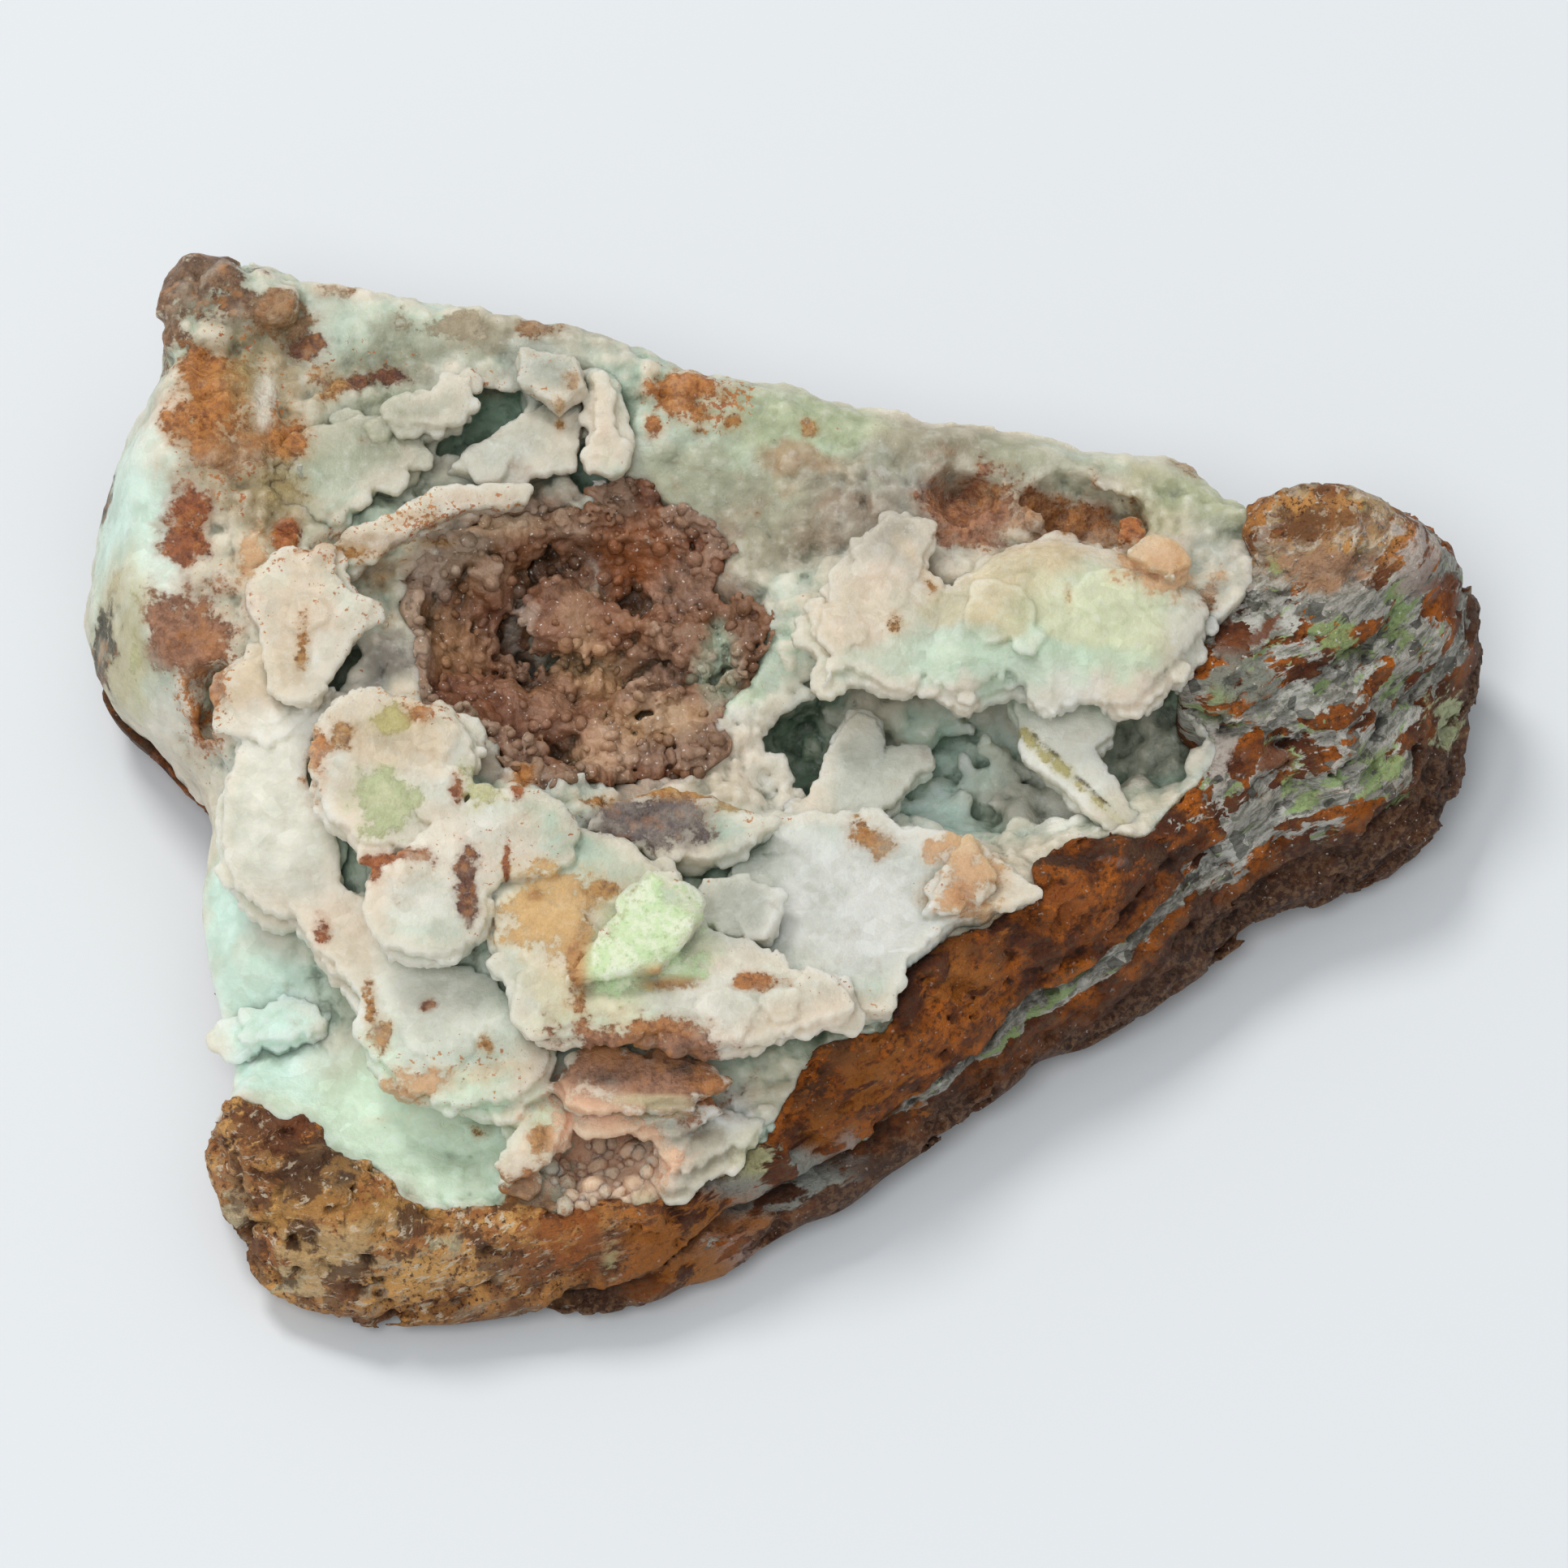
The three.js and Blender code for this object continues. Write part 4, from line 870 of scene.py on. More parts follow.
print("lining net:", lining.count, "relief to", round(float(relief.max()), 2))

# %% [markdown]
# The limonite is broken rock: small flat faces, stepped along layers that rise to the right,
# with hard layers standing out a little and soft ones washed back. The corner at the front left
# is crumbly instead. The rock is what the stone's field leaves outside the space of the crust.

# %% Layers and breaks of the rock
LAYER_RISE, LAYER_DIP = 0.33, 0.25
LAYER_PITCH, HARD_SHARE = 5.2, 0.62
GREY_BAND, GREY_HALF = -1.6, 0.8  # place of the front's grey band in the layers, half its width
layer_up = np.array([-LAYER_RISE, LAYER_DIP, 1.0])
layer_up /= np.linalg.norm(layer_up)
layer_along = np.cross([0, 1.0, 0], layer_up)
layer_along /= np.linalg.norm(layer_along)
layer_side = np.cross(layer_up, layer_along)
LAYER_FRAME = np.stack([layer_along, layer_side, layer_up], 1).astype(np.float32)


def in_layers(points):
    """Coordinates along, across and up through the rock's layers, with their gentle bends."""
    turned = points @ LAYER_FRAME
    turned[:, 2] += 1.0 * waves(points, 11.0, 20.0) + 0.5 * waves(points, 4.0, 21.0)
    return turned


def hardness(layered, right_end):
    """1 in hard layers, 0 in soft ones: many at the right end, one grey band along the front."""
    phase = np.mod(layered[:, 2] / LAYER_PITCH, 1)
    many = np.clip(np.minimum(phase, HARD_SHARE - phase) * 9 + 0.5, 0, 1)
    one = np.clip(np.abs(layered[:, 2] - GREY_BAND) / GREY_HALF - 0.5, 0, 1)
    return one + (many - one) * right_end


def at_right_end(points):
    """1 on the banded right end, 0 on the front wall and the rest."""
    return smooth_step(points[:, 0] + 0.5 * points[:, 1] + 2.5 * waves(points, 6, 3.0), 20, 30)


print("layers rise along", [round(float(v), 2) for v in layer_along])

# %% Relief of the rock
BROWN_CORNER = [(-28, -34, 9, 14, 6, 1), (-39, -28, 9, 4, 5, 1)]
SMOOTH_LUMP = [(39, 17, 18, 8, 6, 1)]
CRUMBLY_LUMP = [(38.5, 15.5, 20, 6, 4, 0.6)]
ROUND_LUMP = ((38.8, 14.9, 17.4), (6.6, 4, 3), -8)  # the rounded brown lump at the top right
ROOM_LIMIT = 0.03  # the rock ends where less than this share of its surroundings is stone
rock = ground.with_field(stone.copy())
add_egg(rock, *ROUND_LUMP, 1.2)
place, points = rock.near_skin(2.0)
layered = in_layers(points)
corner = nearness(points, BROWN_CORNER)
right_end = at_right_end(points)
calm = 1 - 0.85 * nearness(points, SMOOTH_LUMP)
low_course = smooth_step(points[:, 2] + 1.2 * waves(points, 5, 9.0), 7.0, 4.0) * (1 - right_end)
relief = (0.7 - 0.4 * right_end) * (0.8 + 0.5 * waves(points, 6.0, 30.0))
relief *= calm * (2 * hardness(layered, right_end) - 1.5)
relief += 1.3 * low_course * (grains(points, 3.4, 8.0) - 0.5)
relief += (1 - calm) * (0.5 * (grains(points, 2.4, 6.0) - 0.5)
                        + 0.35 * (grains(points, 1.0, 4.0) - 0.5))
relief += calm * 0.75 * flat_breaks(layered, (4.2, 3.6, 1.8), 2.0)
relief += (0.3 + 0.7 * calm) * 0.5 * flat_breaks(layered, (1.7, 1.5, 0.8), 7.0)
relief += 0.3 * (grains(points, 1.3, 11.0) - 0.5) * (1 - right_end)
relief += 0.5 * waves(points, 4.5, 14.0)
relief += corner * (0.9 * (grains(points, 2.0, 3.0) - 0.5)
                    + 0.6 * (grains(points, 0.9, 5.0) - 0.5))
DEEPEST, HIGHEST = -1.5, 0.6  # limits of the rock's relief
room = blurred(blurred((rock.field < 0).astype(np.float32), 1), 1)  # 0 farther out than half a mm
rock.field[place] -= np.clip(relief, DEEPEST, HIGHEST)
rock.field = np.maximum(rock.field, 2 * (ROOM_LIMIT - room)).astype(np.float32)
print("rock relief from", round(float(relief.min()), 2), "to", round(float(relief.max()), 2))

# %% Part the rock from the crust, and lay all on the rest face
SEAM = 0.15  # the rock reaches this far into the crust, so that no gap shows between them
rock.field = np.maximum(rock.field, -(np.minimum(ground.field, crust_space) + SEAM))
for net in (left_plates, right_plates):
    rock.field = np.maximum(rock.field, -(net.sampled(rock.axes) + 2 * SEAM))
rock.field = np.maximum(rock.field, -level)
print("points inside the rock:", int((rock.field < 0).sum()))

# %% [markdown]
# The skins come from a mesher that follows the zero of the field with an even net of faces.
# Crumbs that would hang in the air are dropped. The faces are then thinned where the skin is
# nearly flat, so that they go to the grains and the broken edges.

# %% From a field to a mesh
def body_numbers(count, faces):
    """For every corner of a net of faces, the lowest corner that it is connected with."""
    label = np.arange(count)
    a, b = faces.ravel(), np.roll(faces, -1, 1).ravel()
    while True:
        low = np.minimum(label[a], label[b])
        lower = label.copy()
        np.minimum.at(lower, label[a], low)
        np.minimum.at(lower, label[b], low)
        lower = lower[lower]
        lower = lower[lower]
        if np.array_equal(lower, label):
            return label
        label = lower


def thinned(piece, ratio, group=""):
    """Thin a piece's faces, in all or only where a group of corners allows it."""
    before = piece.data
    thin = piece.modifiers.new("thin", "DECIMATE")
    thin.ratio = min(1, ratio)
    thin.vertex_group = group
    bpy.context.view_layer.update()
    piece.data = bpy.data.meshes.new_from_object(
        piece.evaluated_get(bpy.context.evaluated_depsgraph_get()))
    piece.modifiers.clear()
    bpy.data.meshes.remove(before)


BURIED = 0.08  # a corner that lies deeper in another piece than this is never seen
HIDDEN_SHARE = 0.12  # what is left of the faces that lie buried in another piece


def mesh_of(name, net, most_faces, smallest=None, others=()):
    """A closed, thinned mesh of a net's skin, in metres, as a new object."""
    volume = openvdb.FloatGrid(1.0)
    volume.copyFromArray(np.ascontiguousarray(np.clip(net.field, -1, 1)))
    corners, _, faces = volume.convertToPolygons(0.0, 0.0)
    body = body_numbers(len(corners), faces)
    sizes = np.bincount(body)
    keep = sizes[body] >= (smallest or sizes.max())
    faces = faces[keep[faces[:, 0]]]
    corners, faces = corners[keep], (np.cumsum(keep) - 1)[faces]
    corners = (net.low + net.spacing * corners) * MM
    a, b, c, d = (corners[faces[:, i]] for i in range(4))
    inside = float(np.einsum("ij,ij->i", a, np.cross(b, c) + np.cross(c, d)).sum()) / 6
    if inside < 0:
        faces = faces[:, ::-1]
    mesh = bpy.data.meshes.new(name)
    mesh.vertices.add(len(corners))
    mesh.vertices.foreach_set("co", corners.astype(np.float32).ravel())
    mesh.loops.add(faces.size)
    mesh.loops.foreach_set("vertex_index", faces.astype(np.int32).ravel())
    mesh.polygons.add(len(faces))
    mesh.polygons.foreach_set("loop_start", np.arange(0, faces.size, 4, dtype=np.int32))
    mesh.update(calc_edges=True)
    mesh.validate()
    piece = add_to_scene(bpy.data.objects.new(name, mesh))
    buried = np.zeros(len(corners), bool)
    for other in others:
        buried |= other.value_at(corners / MM) < -BURIED
    if buried.any():
        group = piece.vertex_groups.new(name="buried")
        group.add(np.nonzero(buried)[0].tolist(), 1.0, "REPLACE")
        thinned(piece, 1 - float(buried.mean()) * (1 - HIDDEN_SHARE), "buried")
        piece.vertex_groups.clear()
    before_last = sum(len(polygon.vertices) - 2 for polygon in piece.data.polygons)
    thinned(piece, most_faces / before_last)
    shaped = piece.data
    shaped.name = name
    shaped.shade_smooth()
    print(name, "net of", len(faces), "faces, buried share", round(float(buried.mean()), 2),
          "thinned from", before_last, "to", len(shaped.polygons))
    return piece


# %% The five meshes
MOST_FACES = 190000
LINING_FACES = 150000
SMALLEST_PLATE = 3000  # corners of the smallest plate that is kept
crust_nets = (ground, left_plates, right_plates)
ground_piece = mesh_of(
    "crust_ground", ground, MOST_FACES, None, (left_plates, right_plates, rock, lining))
left_piece = mesh_of(
    "crust_plates_left", left_plates, MOST_FACES, SMALLEST_PLATE, (ground, right_plates))
right_piece = mesh_of(
    "crust_plates_right", right_plates, MOST_FACES, SMALLEST_PLATE, (ground, left_plates))
rock_piece = mesh_of("limonite_rock", rock, MOST_FACES, None, crust_nets)
lining_piece = mesh_of("brown_druse_lining", lining, LINING_FACES, None, crust_nets)

# %% [markdown]
# The colours change with place: rust where iron-rich water dried, aqua in the sheltered bowl,
# pinkish white on the plates. Each stain is a named colour at a named spot with soft, wavy
# edges. They are laid one over the other and kept on the corners of the mesh as an attribute.

# %% Colours as a maker would name them, in 8-bit values
COLOURS = {
    "white": (232, 228, 216), "cool_white": (230, 232, 227), "grey_white": (204, 200, 186),
    "pinkish": (232, 213, 190), "pink_cream": (224, 203, 172), "pink_grey": (182, 164, 146),
    "pink_brown": (162, 120, 96), "pinkish_tan": (184, 142, 116), "pink_druse": (246, 200, 168),
    "peach": (218, 178, 136), "cream": (208, 196, 158), "tan": (174, 160, 134),
    "tan_orange": (168, 132, 94), "ochre": (184, 136, 72), "yellow_core": (196, 186, 128),
    "yellow_green": (198, 204, 160), "talc": (204, 202, 152), "mint": (214, 234, 204),
    "pale_mint": (194, 214, 194), "mint_cream": (222, 226, 192), "aqua": (226, 252, 240),
    "deep_aqua": (146, 186, 166), "apple": (216, 234, 190), "grey_green": (152, 158, 136),
    "blue_grey": (156, 160, 152), "lilac": (142, 128, 120), "shadow_grey": (150, 152, 138),
    "deep_green": (92, 122, 98), "olive_grey": (128, 120, 94), "dark_olive": (84, 80, 60),
    "orange": (192, 128, 64), "rust": (164, 92, 40), "amber": (172, 102, 36),
    "stain_brown": (158, 108, 62), "orange_brown": (142, 92, 50), "red_brown": (120, 70, 44),
    "purple_brown": (164, 116, 86), "knob_brown": (124, 90, 64), "brown": (110, 76, 54),
    "deep_brown": (66, 42, 28), "dark_brown": (76, 50, 36), "chalk": (206, 194, 184),
    "lavender": (176, 160, 156), "olive_tan": (168, 150, 104), "olive_mint": (174, 174, 148),
    "olive_shade": (150, 146, 118), "slope_tan": (166, 158, 134), "slope_mint": (178, 188, 154),
    "slab_tan": (172, 148, 106), "nose_tan": (168, 154, 122), "clear_grey": (196, 200, 188),
    "warm_grey": (188, 180, 166), "cool_grey": (222, 222, 217), "dome_cream": (226, 212, 178),
    "lip_mint": (212, 232, 210), "hollow_tan": (160, 120, 84), "hollow_lilac": (154, 122, 104),
    "cream_pink": (222, 184, 152), "leaf_green": (164, 184, 122), "bar_tan": (180, 148, 112),
    "dull_grey": (174, 176, 162), "post_tan": (166, 152, 128), "lump_pink": (190, 146, 112),
    "dark_rust": (128, 70, 36), "pale_ochre": (222, 184, 128), "dome_tan": (206, 178, 136),
    "soft_orange": (178, 142, 104), "plate_lilac": (112, 100, 98), "bright_white": (252, 250, 238),
    "bright_cream": (238, 226, 192), "bowl_mint": (230, 250, 228), "nose_light": (214, 204, 168),
    "warm_tan": (150, 124, 100), "cave_aqua": (232, 255, 246), "gold_brown": (172, 112, 56)}


def linear(colour):
    """An 8-bit colour as the linear values that a shader mixes."""
    value = np.array(colour) / 255
    return np.where(value <= 0.04045, value / 12.92, ((value + 0.055) / 1.055) ** 2.4)


print(len(COLOURS), "named colours")

# %% Stains of the crust: colour, place, reach along X and Y, strength
CRUST_STAINS = [
    # rim
    ("pale_mint", -29, 31.5, 21, 4, 2.5, 0.7), ("tan", -19, 31, 21, 7, 2, 0.7),
    ("grey_white", -14.5, 29, 21, 3.5, 2, 0.6), ("yellow_green", 2, 24, 20, 6, 2.5, 0.8),
    ("mint", 5, 21.5, 19.5, 4.5, 2, 0.7), ("tan", 10.5, 22.5, 20, 5, 2.5, 0.7),
    ("grey_green", 16.5, 20.5, 19.5, 5, 2.5, 0.7), ("pink_grey", 21, 19, 19, 3.5, 2, 0.7),
    ("cream", 27.5, 19, 18.5, 4, 2.5, 0.8), ("pink_grey", 32.5, 16, 18.5, 1.5, 2.5, 0.6),
    ("mint", -4, 19, 19, 7.5, 3.5, 0.8), ("blue_grey", 6.5, 19.5, 18.5, 3.5, 2.5, 0.6),
    ("pale_mint", -9.5, 18.5, 18, 4.5, 1.5, 0.7), ("brown", 12.5, 19, 17.5, 3, 3.5, 0.85),
    ("brown", 21.5, 17.5, 17, 3.5, 2.5, 0.85),
    # slab
    ("grey_white", -37, 27, 21, 1.5, 3.5, 0.6), ("tan", -36, 16.5, 21, 2.5, 4, 0.6),
    ("aqua", -47, 17, 14, 3, 9.5, 0.8),
    # left
    ("pinkish", -33.5, 8.5, 21, 3.5, 4.5, 0.9), ("pinkish", -28, 14.5, 22, 5, 1.5, 0.8),
    ("white", -35.5, -6.5, 17, 4, 5.5, 0.8), ("pinkish", -36.5, 2, 19, 3, 2.5, 0.6),
    ("pink_cream", -27, -2, 21, 4, 3.5, 0.8), ("lilac", -27, 5, 18, 2, 2.5, 0.8),
    ("lilac", -24, 15.5, 17.5, 2.5, 1.5, 0.5),
    # hollow
    ("orange_brown", -19, 18.5, 16, 3.5, 2, 0.9), ("red_brown", -9.5, 17, 14, 5, 3.5, 0.8),
    ("deep_brown", -19, 10.5, 9, 2, 2.5, 0.95), ("brown", -23.5, 10.5, 13, 3, 3.5, 0.8),
    ("red_brown", -5.5, 11, 14, 3, 4, 0.8), ("pink_brown", -13.5, 2.5, 13, 3, 3, 0.8),
    ("pinkish_tan", -8, 2.5, 14, 2.5, 2, 0.8), ("pinkish_tan", -16, 12, 14, 3.5, 1.5, 0.7),
    ("mint", -3.5, 6, 15, 1.5, 3, 0.8), ("lilac", -9.5, -7.5, 18, 4.5, 2.5, 0.8),
    # front
    ("cool_white", 5, -12, 16, 8, 5.5, 0.9), ("pinkish", -24, -12, 20, 3.5, 2.5, 0.6),
    ("mint", -12.5, -22, 18, 4.5, 2, 0.6), ("pinkish", 4, -21, 17, 1.5, 1.5, 0.6),
    # bowl
    ("aqua", -36, -20, 8, 4, 4.5, 1), ("aqua", -39, -10.5, 9, 2.5, 4, 0.9),
    ("mint", -29.5, -25.5, 8, 4.5, 4, 0.8), ("mint", -23, -28.5, 8, 4.5, 3.5, 0.8),
    ("white", -35.5, -17.5, 10, 3.5, 1, 0.8), ("pink_cream", -23, -26, 13, 5, 1, 0.7),
    ("deep_green", -18, -30, 8, 1.5, 1, 0.8), ("cream", -10, -33.5, 9, 1, 1.5, 0.9),
    ("pinkish", -18.5, -29.5, 12, 1.5, 2, 0.6), ("talc", -3.5, -30, 9, 3, 1.5, 0.8),
    ("cool_white", -5, -28, 11, 3.5, 2.5, 0.8),
    # right
    ("cream", 16.5, 8.5, 20, 3.5, 3.5, 0.9), ("mint_cream", 24, 7, 20, 4, 4, 0.9),
    ("pale_mint", 12, 6, 19, 4.5, 1.5, 0.7), ("pinkish", 5, 8, 20, 4, 4, 0.8),
    ("dome_tan", 17.7, 12.4, 20.5, 3.8, 2, 0.8), ("pinkish", 10.5, 13, 20.5, 3, 2, 0.7),
    ("white", 29.5, 7.5, 18, 1.5, 2.5, 0.7), ("deep_aqua", 10.5, 5.5, 7.5, 3, 2, 0.6),
    ("deep_green", 1, 5, 9, 2.5, 4, 0.9), ("shadow_grey", 27, 3.5, 10, 3, 2.5, 0.8),
    ("white", 6.5, 0.5, 13.5, 4, 2.5, 0.8), ("cool_white", 20.5, 0, 14, 3, 4, 0.8),
    # shades of the slopes, ledges and clear plates
    ("warm_tan", 4.5, 16.5, 18.5, 4.5, 3.4, 0.85), ("slope_mint", 30.3, 19.2, 18, 4, 3, 0.7),
    ("clear_grey", 30.7, 13.1, 18, 2.4, 4, 0.6), ("cave_aqua", 10, -0.4, 8, 4.4, 4.4, 1),
    ("cave_aqua", 14, 4, 8, 4, 4, 0.6), ("warm_grey", 19.4, -1, 8, 3.4, 2.6, 0.7),
    ("olive_mint", -28.7, 22.7, 20, 4.6, 4.3, 0.8), ("olive_shade", -28.5, 29.5, 20, 3.5, 2.2, 0.8),
    ("slab_tan", -38.5, 24.1, 21, 5.2, 7.9, 0.8), ("slab_tan", -36, 16.6, 20, 2.9, 2.9, 0.7),
    ("slope_tan", -18.9, 31.1, 21, 5.2, 1.4, 0.8), ("clear_grey", -17.4, 27.2, 22, 2.6, 2.9, 0.8),
    ("clear_grey", -19.7, 21.6, 20, 4.6, 2.9, 0.7), ("slope_mint", 0.5, 25.1, 20, 6.3, 2.9, 0.85),
    ("slope_tan", 11.2, 21.6, 19.5, 5.2, 2.2, 0.85), ("slope_tan", -1.5, 17.1, 18.5, 5.2, 3.6, 0.85),
    ("olive_mint", -6.7, 19.9, 19, 3.5, 2.9, 0.85), ("olive_mint", 18.8, 21.6, 18.5, 4.6, 1.8, 0.7),
    ("nose_tan", -47.9, 8.7, 14, 2.3, 4.3, 0.8), ("pink_cream", -36.3, 3.8, 19, 2.9, 2.9, 0.8),
    ("clear_grey", -3.2, -14.4, 17.5, 2.9, 4.3, 0.8), ("clear_grey", -23.5, -21.1, 14.5, 5.8, 4.3, 0.6),
    ("dome_cream", 16.3, 10.9, 20.5, 4, 2.9, 0.8), ("mint_cream", 21.4, 7.2, 20, 4.6, 3.6, 0.8),
    ("lip_mint", 15.7, 4.1, 18.5, 9.2, 1.7, 0.9), ("warm_grey", 7.1, 14.2, 20.5, 3.5, 3.6, 0.7),
    ("clear_grey", 6.2, -2.3, 13.5, 4, 3.6, 0.9), ("clear_grey", 17.2, 1, 13.5, 2.9, 5.8, 0.8),
    ("cool_grey", 4.8, -13.5, 16, 7.5, 5.8, 0.8), ("warm_grey", -15.4, 17.1, 18, 3.5, 1.4, 0.7),
    ("clear_grey", 2, 3.2, 12, 2.3, 4.3, 0.6), ("soft_orange", 2.3, 20.9, 19, 3.2, 1.1, 0.8),
    ("pink_cream", 9.9, 12.6, 20.5, 2, 1.6, 0.6), ("bright_white", -35.6, -5.5, 17, 3.2, 5.5, 0.85),
    ("bright_white", -24.6, -12, 20, 3, 2.5, 0.5), ("bright_white", -26, -20.5, 15, 6, 4, 0.5),
    ("bright_cream", -13.6, -20.6, 19, 4.5, 2, 0.8), ("bright_cream", -17.4, -15.6, 20, 2.6, 3, 0.7),
    ("bowl_mint", -29, -25.8, 7.5, 6.5, 4.2, 1), ("bowl_mint", -22.6, -29, 7.5, 5.5, 3.4, 1),
    ("aqua", -37, -16, 8.5, 4, 2.5, 0.9), ("aqua", -36.4, -21.5, 8, 3.6, 2.5, 0.9),
    ("mint", -16.6, -28.6, 12, 1.6, 2.4, 0.7), ("nose_light", -47.4, 9, 13, 2.6, 6, 0.85),
    ("bar_tan", -29, 13, 21.5, 4.5, 1.4, 0.8), ("bar_tan", -21, 16.6, 21.5, 3.5, 0.9, 0.6),
    ("dull_grey", -17.4, 27.2, 22, 2.6, 2.2, 0.6), ("dull_grey", -3.2, -14.4, 17.5, 2.6, 3, 0.7),
    ("cream", 10.9, 8.9, 20, 1.8, 1.6, 0.7), ("bright_white", 19.4, 0, 13.5, 3, 5, 0.8),
    ("post_tan", -6, -30, 10, 4, 1.8, 0.7),
]

